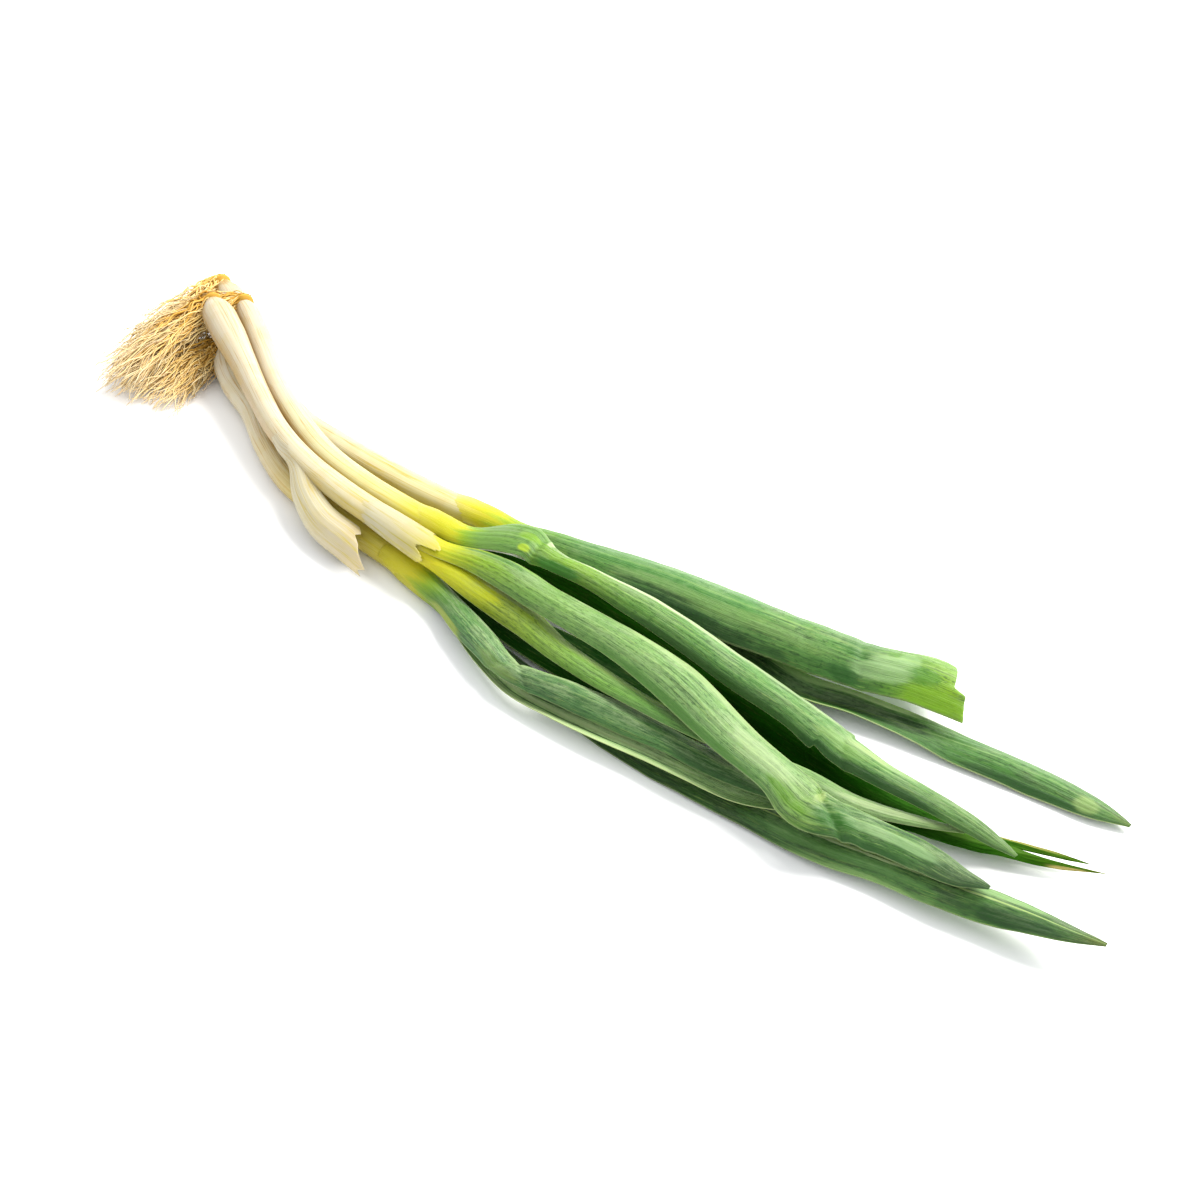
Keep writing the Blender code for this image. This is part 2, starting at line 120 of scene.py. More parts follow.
class Skin:
    """A material: its Principled shader and the nodes that feed it."""

    def __init__(self, name, **constants):
        self.material = bpy.data.materials.new(name)
        self.material.use_nodes = True
        self.tree = self.material.node_tree
        self.shader = self.tree.nodes["Principled BSDF"]
        for label, value in constants.items():
            self.feed(self.shader.inputs[label.replace("_", " ")], value)

    def feed(self, socket, value):
        """Links a wire to the socket, or sets the socket to a value."""
        if isinstance(value, Wire):
            self.tree.links.new(value.socket, socket)
        elif isinstance(value, tuple) and len(value) == 3 and socket.type == "RGBA":
            socket.default_value = (*value, 1.0)
        else:
            socket.default_value = value

    def node(self, kind, settings, values, output=0):
        """Adds a node: its settings first, a ramp's stops among them, then its sockets."""
        made = self.tree.nodes.new(kind)
        for name, value in settings.items():
            if name == "stops":
                self.set_stops(made.color_ramp, value)
            else:
                setattr(made, name, value)
        for key, value in values.items():
            self.feed(made.inputs[key], value)
        return Wire(self, made.outputs[output])

    def set_stops(self, ramp, stops):
        """Gives a colour ramp its stops, (share, colour), in place of the two it starts with."""
        while len(ramp.elements) > 1:
            ramp.elements.remove(ramp.elements[-1])
        ramp.elements[0].position = stops[0][0]
        ramp.elements[0].color = (*stops[0][1], 1.0)
        for place, colour in stops[1:]:
            ramp.elements.new(place).color = (*colour, 1.0)

    def ramp(self, value, stops):
        """The colour that the stops give for a value of 0 to 1."""
        return self.node("ShaderNodeValToRGB", {"stops": stops}, {0: value})

    def mix(self, share, first, second, blend="MIX"):
        """The first colour with a share of the second over it."""
        return self.node(
            "ShaderNodeMix", {"data_type": "RGBA", "blend_type": blend},
            {0: share, 6: first, 7: second}, output=2,
        )

    def join(self, x, y, z):
        """A vector from three numbers."""
        return self.node("ShaderNodeCombineXYZ", {}, {0: x, 1: y, 2: z})

    def noise(self, place, scale, detail=2.0, roughness=0.5):
        """Smooth noise round 0.5 at a place, with so many spots to a unit of length."""
        return self.node(
            "ShaderNodeTexNoise", {},
            {"Vector": place, "Scale": scale, "Detail": detail, "Roughness": roughness},
        )

    def place(self):
        """The point on the piece, in metres."""
        return self.node("ShaderNodeTexCoord", {}, {}, output=3)

    def marks(self, name):
        """The three numbers that a piece's attribute holds at each point."""
        vector = self.node("ShaderNodeAttribute", {"attribute_name": name}, {}, output=1)
        split = self.node("ShaderNodeSeparateXYZ", {}, {0: vector})
        return [Wire(self, socket) for socket in split.socket.node.outputs]

    def bump(self, height, depth):
        """Feeds the shader a relief: height 0 to 1 stands for 0 to depth metres."""
        self.feed(self.shader.inputs["Normal"], self.node(
            "ShaderNodeBump", {}, {"Distance": depth, "Height": height},
        ))


def lay_mesh(name, points, faces, marks=None):
    """An object from points in metres, faces as rows of point numbers, and attributes."""
    mesh = bpy.data.meshes.new(name)
    mesh.from_pydata(points, [], faces)
    for label, values in (marks or {}).items():
        mesh.attributes.new(label, "FLOAT_VECTOR", "POINT").data.foreach_set(
            "vector", np.asarray(values, dtype=np.float32).ravel(),
        )
    mesh.shade_smooth()
    mesh.update()
    piece = bpy.data.objects.new(name, mesh)
    bpy.context.scene.collection.objects.link(piece)
    return piece


TABLE_REACH = 4.0
TABLE_TOP = -0.0002

board = Skin("white board", Roughness=0.85)
board_tone = board.noise(board.place(), 14.0).step(0.3, 0.7)
board_colour = board.mix(board_tone, (0.93, 0.93, 0.93), (0.95, 0.95, 0.95))
board.feed(board.shader.inputs["Base Color"], board_colour)
table = lay_mesh("table", [
    (-TABLE_REACH, -TABLE_REACH, TABLE_TOP), (TABLE_REACH, -TABLE_REACH, TABLE_TOP),
    (TABLE_REACH, TABLE_REACH, TABLE_TOP), (-TABLE_REACH, TABLE_REACH, TABLE_TOP),
], [(0, 1, 2, 3)])
table.data.materials.append(board.material)


# The light: one large soft lamp high up behind the bunch to the right, and a bright even
# sky that opens up the shadows.
LAMP_PLACE = Vector((0.25, 1.0, 1.25))
LAMP_WIDTH = 1.1
LAMP_POWER = 56.0
SKY_STRENGTH = 1.12

lamp = bpy.data.objects.new("lamp", bpy.data.lights.new("lamp", "AREA"))
lamp.data.shape = "DISK"
lamp.data.size = LAMP_WIDTH
lamp.data.energy = LAMP_POWER
lamp.data.color = (1.0, 0.98, 0.95)
lamp.location = LAMP_PLACE
lamp.rotation_euler = (-LAMP_PLACE).to_track_quat("-Z", "Y").to_euler()
bpy.context.scene.collection.objects.link(lamp)
sky = bpy.data.worlds.new("sky")
sky.use_nodes = True
sky.node_tree.nodes["Background"].inputs["Color"].default_value = (0.97, 0.985, 1.0, 1.0)
sky.node_tree.nodes["Background"].inputs["Strength"].default_value = SKY_STRENGTH
bpy.context.scene.world = sky
bpy.context.scene.view_settings.view_transform = "Standard"


# The four shanks: tight rolls of leaf sheaths, blanched white in the earth and turning
# yellow where the leaves begin. They swell a little at the base and twist round each other.
# Lengths are in millimetres. LAY moves the bunch so that its box is centred on the origin.
LAY = np.array((6.0, -2.3, 0.0))
# Stations along each shank from the roots on: x, y and z of its middle, half width, half height.
SHANKS = {
    "leek_1": [
        (-187, 25, 6.4, 3.4, 3.6), (-182, 21.4, 6, 5.8, 5.2), (-171, 13.6, 6, 6.2, 5.3),
        (-154, 5.4, 5.4, 5.2, 5.0), (-136, -5.8, 5.2, 5.0, 4.8), (-117, -14.4, 4.8, 5.0, 4.7),
        (-98, -18, 4.0, 4.7, 4.5), (-78, -20, 3.8, 4.4, 4.4), (-60, -22, 4.0, 4.3, 4.4),
        (-41, -26, 4.6, 4.2, 4.3),
    ],
    "leek_2": [
        (-199, 31, 16.6, 3.2, 3.2), (-194, 28, 17.2, 5.4, 5.2), (-183, 22, 17.4, 6.0, 5.6),
        (-166, 13, 16.6, 4.9, 4.7), (-148, 3, 15.4, 4.3, 4.3), (-130, -6, 14.6, 4.2, 4.2),
        (-112, -12, 14.2, 4.4, 4.0), (-90, -16, 14, 4.8, 4.0), (-70, -18, 14, 5.2, 3.8),
        (-50, -20, 14, 5.4, 3.6),
    ],
    "leek_3": [
        (-191, 38.4, 15.4, 3.0, 3.0), (-187, 36.3, 15.3, 4.2, 4.2), (-180, 32.4, 14.7, 4.4, 4.4),
        (-166, 24.2, 13.4, 4.2, 4.2), (-150, 14.3, 12.6, 4.1, 4.1), (-132, 5.3, 12, 4.2, 4.2),
        (-112, -2.4, 12, 4.3, 4.2), (-90, -6.1, 12, 4.3, 4.0), (-68, -7.8, 12.6, 4.5, 3.8),
        (-48, -8.4, 13.2, 4.9, 3.6),
    ],
    "leek_4": [
        (-214, 50, 8, 3.0, 3.2), (-209, 48, 7, 5.2, 5.2), (-196, 41, 5.2, 4.8, 4.8),
        (-176, 30, 4.2, 4.2, 4.2), (-156, 20, 4, 4.1, 4.1), (-136, 12.6, 4.2, 4.6, 4.4),
        (-116, 9.8, 4.8, 5.0, 5.1), (-96, 8.6, 5.0, 5.4, 5.4), (-72, 9, 5.0, 5.5, 5.4),
        (-46, 11.4, 5.3, 5.2, 4.7),
    ],
}
SHANK_ROWS = 200
SHANK_SIDES = 72
SHANK_TAPER = 12.0
SHANK_TAPER_END = 0.42
SHEATH_LAP = 0.22


def smooth_step(value, low, high):
    """0 at low, 1 at high, three part squared less two part cubed between."""
    part = np.clip((value - low) / (high - low), 0.0, 1.0)
    return part * part * (3 - 2 * part)


def read_curve(stations, spots):
    """Rows of the curve through the stations at spots 0 to 1 of its length.

    Between two stations a cubic joins their values, with slopes taken from the neighbours.
    """
    rows = np.array(stations, dtype=float)
    steps = np.linalg.norm(np.diff(rows[:, :3], axis=0), axis=1)
    marks = np.concatenate(([0.0], np.cumsum(steps)))
    slopes = np.gradient(rows, marks, axis=0)
    at = np.clip(spots, 0.0, 1.0) * marks[-1]
    first = np.clip(np.searchsorted(marks, at, side="right") - 1, 0, len(marks) - 2)
    span = (marks[first + 1] - marks[first])[..., None]
    part = (at - marks[first])[..., None] / span
    rise = part * part * (3 - 2 * part)
    return (
        rows[first] * (1 - rise) + rows[first + 1] * rise
        + slopes[first] * span * part * (1 - part) ** 2
        - slopes[first + 1] * span * part * part * (1 - part)
    )


def spots_at(stations, places):
    """The spots where the curve passes the given places along X, from a dense table of it."""
    table = np.linspace(0, 1, 2001)
    return np.interp(places, read_curve(stations, table)[:, 0], table)


def unit(vectors):
    """The vectors at length 1."""
    return vectors / np.maximum(np.linalg.norm(vectors, axis=-1, keepdims=True), 1e-12)


def directions(stations, spots):
    """Ahead, sideways (towards -Y) and up along the curve, from points just either side."""
    ahead = unit(read_curve(stations, spots + 0.01)[..., :3] - read_curve(stations, spots - 0.01)[..., :3])
    side = unit(np.cross(ahead, (0.0, 0.0, 1.0)))
    return ahead, side, np.cross(side, ahead)


def quads(rows, columns, around=False):
    """Faces between neighbours of a grid, its last column joined to its first if around."""
    row, column = np.meshgrid(np.arange(rows - 1), np.arange(columns - (not around)), indexing="ij")
    following = (column + 1) % columns
    corners = (row * columns + column, row * columns + following,
               (row + 1) * columns + following, (row + 1) * columns + column)
    return np.stack(corners, axis=-1).reshape(-1, 4)


def shank_points(leek, places, turn, out):
    """Points on a shank's skin at places along X (mm) and turns round it, moved out by mm.

    The centre, plus the half width times the cosine sideways, plus the half height times
    the sine upwards. Past the last station the shank goes straight on.
    """
    stations = SHANKS[leek]
    spots = spots_at(stations, places)
    curve = read_curve(stations, spots)
    ahead, side, up = directions(stations, spots)
    beyond = np.maximum(places - stations[-1][0], 0.0)[..., None] / np.maximum(ahead[..., :1], 0.3)
    centre = curve[..., :3] + ahead * beyond
    wide = curve[..., 3:4] + out[..., None]
    high = curve[..., 4:5] + out[..., None]
    return centre + side * wide * np.cos(turn)[..., None] + up * high * np.sin(turn)[..., None]


def shank_piece(leek, skin, lap_turn, lap_twist, press):
    """The shank's skin on a grid of rows along X and turns round it, domed at both ends.

    Rows lie closer together near the ends, and the last SHANK_TAPER mm narrow towards the leaves.
    The outermost sheath laps over itself: the skin rises by SHEATH_LAP once round from a line
    that winds along the shank. Low waves round and along it make it a little uneven, and
    press, in mm, is how far its upper near side swells against the next shank.
    """
    first, last = SHANKS[leek][0][0], SHANKS[leek][-1][0]
    share = (1 - np.cos(np.linspace(0, math.pi, SHANK_ROWS))) / 2
    share = (0.6 * np.linspace(0, 1, SHANK_ROWS) + 0.4 * share)[:, None]
    turn = (np.arange(SHANK_SIDES) / SHANK_SIDES * 2 * math.pi)[None, :]
    places, turn = np.broadcast_arrays(first + (last - first) * share, turn)
    lap = np.mod(turn - lap_turn - lap_twist * share, 2 * math.pi) / (2 * math.pi)
    uneven = 0.05 * np.sin(3 * turn + 9 * share) + 0.04 * np.sin(7 * turn - 5 * share)
    ribs = 0.025 * np.sin(34 * turn + 3 * share) * smooth_step(share, 0.1, 0.5)
    out = SHEATH_LAP * (smooth_step(lap, 0, 0.03) * (1 - 0.6 * lap) - 0.9) + uneven + ribs - 0.1
    out = out + press * np.clip(np.cos(turn - 0.5), 0, 1) ** 2 * smooth_step(places, -186, -160)
    points = shank_points(leek, places, turn, out)
    middle = points.mean(axis=1, keepdims=True)
    taper = SHANK_TAPER_END + (1 - SHANK_TAPER_END) * smooth_step(last - places, 0.0, SHANK_TAPER)
    points = middle + (points - middle) * taper[..., None]
    points[..., 2] = np.maximum(points[..., 2], 0.02)
    count = SHANK_ROWS * SHANK_SIDES
    rim = np.arange(SHANK_SIDES)
    after = (rim + 1) % SHANK_SIDES
    last_ring = count - SHANK_SIDES
    fans = [(count, b, a) for a, b in zip(rim, after)] + [
        (count + 1, last_ring + a, last_ring + b) for a, b in zip(rim, after)
    ]
    marks = np.stack((places / 100, np.cos(turn), np.sin(turn)), axis=-1).reshape(-1, 3)
    marks = np.concatenate((marks, [(first / 100, 0, 0), (last / 100, 0, 0)]))
    poles = np.stack((points[0].mean(axis=0), points[-1].mean(axis=0)))
    piece = lay_mesh(
        f"{leek}_shank_skin", (np.concatenate((points.reshape(-1, 3), poles)) + LAY) / 1000,
        quads(SHANK_ROWS, SHANK_SIDES, around=True).tolist() + fans, {"stem": marks},
    )
    piece.data.materials.append(skin.material)
    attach(piece, "root")
    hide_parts(f"{leek}_shank")


# The run of the plants along X, from root tips to leaf tips, that colours are placed on.
RUN_START, RUN_LENGTH = -220, 440
# The light is strong enough to whiten the board, so the skins' colours are toned down by this.
SHANK_TONE = (0.56, 0.55, 0.51)


def along(stops):
    """Stops at places along X in mm as shares of the run from roots to leaf tips."""
    return [((place - RUN_START) / RUN_LENGTH, paint(*colour)) for place, colour in stops]


def shank_skin(name, stops, low_side_shade, seed, attribute="stem", touching_shade=(0.0, 0.0)):
    """White plant skin: colours by place along X, streaks and blotches, thin lines of tint where
    sheaths end, brown spots at the root end, and painted shade on the low side and where shanks
    touch.

    The number after the stops is how strongly the painted shade darkens the low side, and the
    last pair how strongly it darkens the sides towards -Y and +Y where shanks touch: tan near
    the roots, yellow further up.
    """
    skin = Skin(
        name, Roughness=0.4, Specular_IOR_Level=0.3, Subsurface_Weight=0.3, Subsurface_Scale=0.005,
    )
    skin.feed(skin.shader.inputs["Subsurface Radius"], (1.0, 0.8, 0.4))
    run, near, top = skin.marks(attribute)
    lengthwise = skin.noise(skin.join(run * 2 + seed, near * 6, top * 6), 1.0, 4.0)
    fine = skin.noise(skin.join(run * 3, near * 30 + seed, top * 30), 1.0, 2.0)
    cloudy = skin.noise(skin.place(), 90.0, 3.0)
    share = (run * 100 - RUN_START) / RUN_LENGTH
    colour = skin.ramp(share + (lengthwise - 0.5) * 0.03, along(stops))
    veins = skin.noise(skin.join(run * 1.2 + seed, near * 9, top * 9), 1.0, 5.0, 0.7)
    colour = skin.mix(fine.step(0.4, 0.75) * 0.12, colour, skin.mix(0.5, colour, paint(198, 170, 104)))
    colour = skin.mix(veins.step(0.53, 0.62) * 0.45, colour, skin.mix(0.5, colour, paint(238, 222, 130)))
    colour = skin.mix(fine.step(0.5, 0.25) * 0.35, colour, skin.mix(0.6, colour, paint(255, 252, 240)))
    # tint is the colour of the painted shade on the low side and where shanks touch, tan near the roots and
    # yellow further up; it also colours the thin lines where sheaths end.
    tint = skin.ramp(share, along([
        (-220, (206, 168, 104)), (-150, (206, 160, 84)), (-120, (202, 150, 50)), (-96, (226, 196, 40)),
        (-60, (226, 208, 10)),
    ]))
    # Painted shade: the low side of the shank, and the sides where it touches the next shank, are darkened
    # towards the tint.
    low = (top + 0.5 * (lengthwise - 0.5)).step(0.15, -0.8)
    colour = skin.mix(low * (0.4 + 0.6 * lengthwise) * low_side_shade, colour, tint)
    for side, strength in zip((near, 0 - near), touching_shade):
        if strength:
            touch_shade = (side + 0.3 * (lengthwise - 0.5)).step(0.62, 0.98) * (0.5 + cloudy)
            colour = skin.mix(touch_shade * strength, colour, tint)
    colour = skin.mix(cloudy.step(0.46, 0.60) * 0.45, colour, skin.mix(0.5, colour, paint(234, 208, 130)))
    edges = skin.noise(skin.join(run * 0.9 + seed, near * 3, top * 3), 1.0, 3.0, 0.6).bell(0.5, 0.025)
    colour = skin.mix(edges * (0.4 + 0.9 * cloudy), colour, skin.mix(0.8, colour, tint))
    spots = cloudy.step(0.56, 0.66) * share.step(0.08, 0.02) * 0.7
    colour = skin.mix(spots, colour, paint(206, 160, 60))
    skin.feed(skin.shader.inputs["Base Color"], skin.mix(1.0, colour, SHANK_TONE, "MULTIPLY"))
    skin.feed(skin.shader.inputs["Roughness"], 0.34 + 0.16 * lengthwise)
    skin.bump(0.7 * fine + 0.5 * lengthwise, 0.00012)
    return skin


# Colours of a shank's blanched root end, by place along X.
WHITE_END = [
    (-220, (240, 222, 192)), (-195, (240, 228, 204)), (-170, (242, 230, 204)), (-150, (247, 237, 212)),
]
shank_skins = {
    # The first shank is painted paler at its root end than the others: painted light that lifts the shade
    # it lies in below the second shank.
    "leek_1": shank_skin("first shank", [
        (-190, (255, 246, 226)), (-150, (255, 248, 226)), (-120, (238, 220, 166)),
        (-98, (240, 224, 120)), (-76, (240, 228, 90)), (-54, (234, 222, 60)), (-44, (216, 214, 0)),
    ], 0.35, 1.0, touching_shade=(0.0, 0.5)),
    "leek_2": shank_skin("second shank", WHITE_END + [
        (-110, (244, 236, 206)), (-80, (244, 234, 196)), (-60, (243, 228, 190)), (-46, (242, 222, 170)),
    ], 0.3, 5.0, touching_shade=(0.45, 0.45)),
    "leek_3": shank_skin("third shank", WHITE_END + [
        (-130, (247, 241, 200)), (-100, (247, 240, 184)), (-78, (246, 238, 164)), (-64, (238, 230, 80)),
        (-54, (218, 214, 0)),
    ], 0.4, 9.0, touching_shade=(0.7, 0.3)),
    "leek_4": shank_skin("fourth shank", WHITE_END + [
        (-110, (248, 240, 200)), (-80, (248, 238, 186)), (-60, (246, 236, 176)), (-55, (232, 224, 20)),
        (-46, (216, 218, 0)),
    ], 0.5, 13.0, touching_shade=(0.8, 0.0)),
}
# For each shank: the turn at which its outer sheath laps, how far the lap winds, and the press.
LAPS = {
    "leek_1": (0.5, 0.6, 0.0), "leek_2": (5.9, -0.9, 0.0),
    "leek_3": (2.2, 0.5, 0.9), "leek_4": (1.6, -0.4, 0.9),
}
for leek, skin in shank_skins.items():
    shank_piece(leek, skin, *LAPS[leek])


# The leaves: straps with a keel and fine parallel veins, yellow where they leave the shank
# and green beyond. Each grows out of the roll of sheaths and unfolds.
BLADE_ROWS = 260
BLADE_COLUMNS = 45
BLADE_WALL = 0.55
RAGGED_FROM = 0.45
# A sheath stands this far off its shank's skin, and sinks in by this much where it starts.
STAND_OFF = 0.35
SINK = 0.75
# A leaf starts to unfold this far before its shank's end and is a free strap this far past it.
UNFOLD_BEFORE = 6
UNFOLD_AFTER = 20
FOLD_SAMPLES = 24
PLEAT = 0.06
# The full turn, in radians, that ripples and the roots' waves are drawn with.
ROUND = 6.28
YELLOW_TONE = (0.60, 0.59, 0.54)
GREEN_TONE = (0.49, 0.545, 0.37)


def fold_section(across, fold, keel):
    """Offsets sideways and down of points across a folded strap, as shares of its half width.

    The slope grows from 0 at the crest to the fold angle at the edge, as one less the
    exponential of the distance over the keel's width; the offsets are its running means.
    """
    samples = (np.arange(FOLD_SAMPLES) + 0.5) / FOLD_SAMPLES
    reach = np.abs(across)[..., None] * samples
    angle = fold[..., None] * (1 - np.exp(-reach / keel)) / (1 - math.exp(-1 / keel))
    full = fold[..., None] * (1 - np.exp(-samples / keel)) / (1 - math.exp(-1 / keel))
    width = np.cos(full).mean(axis=-1)
    return (
        across * np.cos(angle).mean(axis=-1) / width,
        np.abs(across) * np.sin(angle).mean(axis=-1) / width,
    )


def ripple(places, across, seed, reach):
    """A sum of five waves along the strap, each with its own length, phase and slant."""
    draw = np.random.default_rng(seed)
    total = 0.0
    for length in (61.0, 37.0, 23.0, 13.0, 8.0):
        phase, slant, lean = draw.uniform(0, ROUND), draw.uniform(-1.2, 1.2), draw.uniform(-0.7, 0.7)
        wave = np.sin(ROUND * places / length + phase + slant * across)
        total = total + wave * (0.35 + 0.65 * across ** 2 + lean * across) * length / 61
    return total * reach


def blade_points(stations, places, across, keel=1.0, reach=0.22, seed=0, creases=(), tears=()):
    """Points on the middle of a strap at places along X (mm) and shares across (-1 to 1).

    The crest from the stations, plus the fold's offsets times the half width. Ripples,
    pleats along the veins and sunken creases across the strap are added to the height.
    A tear, (side, place, length, share), takes its share of one edge away at its place, and
    the edge comes back further on as the exponential of minus the distance over its length.
    """
    spots = spots_at(stations, places)
    curve = read_curve(stations, spots)
    _, side, up = directions(stations, spots)
    roll = np.radians(curve[..., 5:6])
    side, up = side * np.cos(roll) + up * np.sin(roll), up * np.cos(roll) - side * np.sin(roll)
    taken = 0.0 * across
    for hand, place, length, share in tears:
        past = np.maximum(places - place, 0)
        taken = taken + share * (across * hand > 0) * smooth_step(past, 0, 1.5) * np.exp(-past / length)
    sideways, down = fold_section(across * (1 - taken), np.radians(curve[..., 4]), keel)
    half = curve[..., 3:4]
    lift = ripple(places, across, seed, reach) * np.clip(half[..., 0] / 6, 0, 1)
    lift = lift + PLEAT * np.sin(21 * across) * np.clip(half[..., 0] / 5, 0, 1)
    for place, slant, width, depth in creases:
        lift = lift - depth * np.exp(-((places - place - slant * across) / width) ** 2)
    points = curve[..., :3] + side * half * sideways[..., None] - up * half * down[..., None]
    return points + up * lift[..., None]


def thick_strap(middle, thickness):
    """The strap's two faces, half its thickness either side of its middle, thin at the rim.

    The thickness falls off with the eighth power of the share across. Returns the points
    of both faces and the faces of the closed body.
    """
    rows, columns = middle.shape[:2]
    normal = unit(np.cross(np.gradient(middle, axis=1), np.gradient(middle, axis=0)))
    across = np.linspace(-1, 1, columns)[None, :]
    ends = np.linspace(0, 1, rows)[:, None]
    wall = thickness / 2 * (1 - 0.6 * across ** 8) * (1 - 0.6 * smooth_step(ends, 0.985, 1.0))
    normal = normal * np.sign(normal[..., 2].mean() or 1.0)
    normal_wall = normal * wall[..., None]
    points = np.concatenate(((middle + normal_wall).reshape(-1, 3), (middle - normal_wall).reshape(-1, 3)))
    top = quads(rows, columns)
    count = rows * columns
    ring = np.concatenate((
        np.arange(columns), np.arange(1, rows) * columns + columns - 1,
        (rows - 1) * columns + np.arange(columns - 2, -1, -1), np.arange(rows - 2, 0, -1) * columns,
    ))
    after = np.roll(ring, -1)
    rim = np.stack((ring, after, after + count, ring + count), axis=-1)
    faces = np.concatenate((top[:, ::-1], top + count, rim))
    corner = points[faces[:len(top)]]
    facing = np.cross(corner[:, 1] - corner[:, 0], corner[:, 2] - corner[:, 0])
    outward = np.sum(facing * normal[:-1, :-1].reshape(-1, 3)) > 0
    return points, faces if outward else faces[:, ::-1]


def leaf_piece(
    node, stations, skin, foot, slot="leaf_green", ends=None, thickness=BLADE_WALL, free=None, **shape
):
    """A leaf that unfolds out of its shank, from foot = (leek, middle turn, half turn, start).

    A station is x, y and z of the crest, half width, fold and roll in degrees. Up to the first
    of the two places in free the leaf hugs the shank's skin, and from there to the second its
    points pass smoothly over to the strap. ends holds how far short of the last station the
    strap stops across its width: its points are drawn back by the square of their share
    beyond RAGGED_FROM.
    """
    leek, turn, reach, start = foot
    shank_end = SHANKS[leek][-1][0]
    across = np.linspace(-1, 1, BLADE_COLUMNS)[None, :]
    share = np.linspace(0, 1, BLADE_ROWS)[:, None]
    places = start + (stations[-1][0] - start) * share + 0 * across
    if ends is not None:
        short = np.interp(across[0], np.linspace(-1, 1, len(ends)), ends)
        places = places - short * np.clip((share - RAGGED_FROM) / (1 - RAGGED_FROM), 0, 1) ** 2
    strap = blade_points(stations, places, across + 0 * share, **shape)
    out = STAND_OFF - SINK * smooth_step(places, start + 8, start)
    wrapped = shank_points(leek, places, np.radians(turn - reach * across) + 0 * share, out)
    free = free or (shank_end - UNFOLD_BEFORE, shank_end + UNFOLD_AFTER)
    opened = smooth_step(places, *free)[..., None]
    middle = wrapped * (1 - opened) + strap * opened
    middle[..., 2] = np.maximum(middle[..., 2], thickness / 2 + 0.05)
    points, faces = thick_strap(middle, thickness)
    side = np.repeat((1.0, -1.0), places.size)
    width = np.tile((across + 0 * share).ravel(), 2)
    marks = np.stack((np.tile(places.ravel() / 100, 2), width, side), axis=-1)
    piece = lay_mesh(f"{node}_blade", (points + LAY) / 1000, faces, {"blade": marks})
    piece.data.materials.append(skin.material)
    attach(piece, "root")
    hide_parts(node)


def leaf_skin(
    name, stops, seed, bloom=0.5, dark=0.5, shade=0.5, edge=0.3, keel_line_and_highlight=0.2, light=0.55, gloss=0.3,
    washes=(),
):
    """Leaf green: colours by place along X, darker veins and grain, a grey wax bloom, pale edges,
    and painted shade and highlights.

    dark and light are the strengths of the dark and pale streaks, shade that of the painted shade,
    a deeper green towards the near edge, and bloom that of the bloom, which is weighted towards
    the far edge as a painted highlight. A wash tints a soft patch that fades out from its middle:
    (place, length, share across, width, colour, strength); some washes are the leaf's own patches,
    others painted highlights and shade.
    """
    skin = Skin(
        name, Roughness=0.4, Specular_IOR_Level=gloss, Subsurface_Weight=0.1, Subsurface_Scale=0.0015,
    )
    skin.feed(skin.shader.inputs["Subsurface Radius"], (0.5, 1.0, 0.2))
    run, across, face = skin.marks("blade")
    streak = skin.noise(skin.join(run * 3 + seed, across * 4, seed), 1.0, 5.0, 0.65)
    fine = skin.noise(skin.join(run * 10, across * 15 + seed, seed), 1.0, 6.0, 0.75)
    hair = skin.noise(skin.join(run * 4, across * 42, seed), 1.0, 3.0, 0.6)
    patch = skin.noise(skin.join(run * 7 + seed, across * 1.6, seed), 1.0, 3.0)
    grain = skin.noise(skin.join(run * 34, across * 11, seed), 1.0, 3.0, 0.7)
    speck = skin.noise(skin.place(), 900.0, 2.0)
    share = (run * 100 - RUN_START) / RUN_LENGTH
    colour = skin.ramp(share + (streak - 0.5) * 0.05, along(stops))
    green = share.step(0.40, 0.46)
    deep = skin.mix(0.85, colour, paint(14, 56, 4))
    colour = skin.mix((streak * 0.6 + patch * 0.4).step(0.49, 0.58) * dark * green, colour, deep)
    colour = skin.mix(hair.step(0.48, 0.36) * 0.75 * green, colour, deep)
    colour = skin.mix(fine.step(0.47, 0.34) * 0.75 * green, colour, deep)
    pale = skin.mix(0.6, colour, paint(220, 236, 150))
    colour = skin.mix(fine.step(0.52, 0.66) * light * green, colour, pale)
    colour = skin.mix(grain.step(0.47, 0.36) * 0.6 * green, colour, deep)
    # Painted shade: a deeper green on the near flank, the side turned away from the lamp.
    shaded = skin.mix(0.8, colour, paint(26, 84, 8))
    colour = skin.mix(across.step(0.25, 0.95) * shade * green, colour, shaded)
    for place, length, middle, width, tint, strength in washes:
        mark = (run * 100 + (patch - 0.5) * length).bell(place, length)
        mark = (mark * (across + (streak - 0.5) * 0.5).bell(middle, width * 1.2)).step(0.05, 0.55)
        colour = skin.mix(mark * strength * (0.55 + 0.9 * fine), colour, paint(*tint))
    # A pale line along the keel: partly the leaf's own pale midrib, partly a painted highlight on the
    # crest.
    colour = skin.mix(across.bell(0.0, 0.06) * keel_line_and_highlight * green, colour, paint(196, 220, 140))
    # The grey wax bloom is the leaf's own; weighting it towards the far edge, which faces the lamp, makes
    # it partly a painted highlight.
    bloom_highlight_mask = (patch * 0.35 + grain * 0.25 + hair * 0.4).step(0.46, 0.58) * (0.6 + 0.8 * speck)
    colour = skin.mix(bloom_highlight_mask * bloom * green * across.step(1.2, -0.6), colour, paint(202, 222, 186))
    colour = skin.mix(abs(across).step(0.94, 0.99) * edge, colour, paint(226, 232, 190))
    colour = skin.mix(face.step(0.1, -0.1) * 0.4 * green, colour, paint(120, 160, 90))
    tone = skin.mix(green, YELLOW_TONE, GREEN_TONE)
    skin.feed(skin.shader.inputs["Base Color"], skin.mix(1.0, colour, tone, "MULTIPLY"))
    skin.feed(skin.shader.inputs["Roughness"], 0.32 + 0.25 * fine)
    skin.bump(0.7 * hair + 0.6 * streak + 0.8 * fine, 0.0002)
    return skin
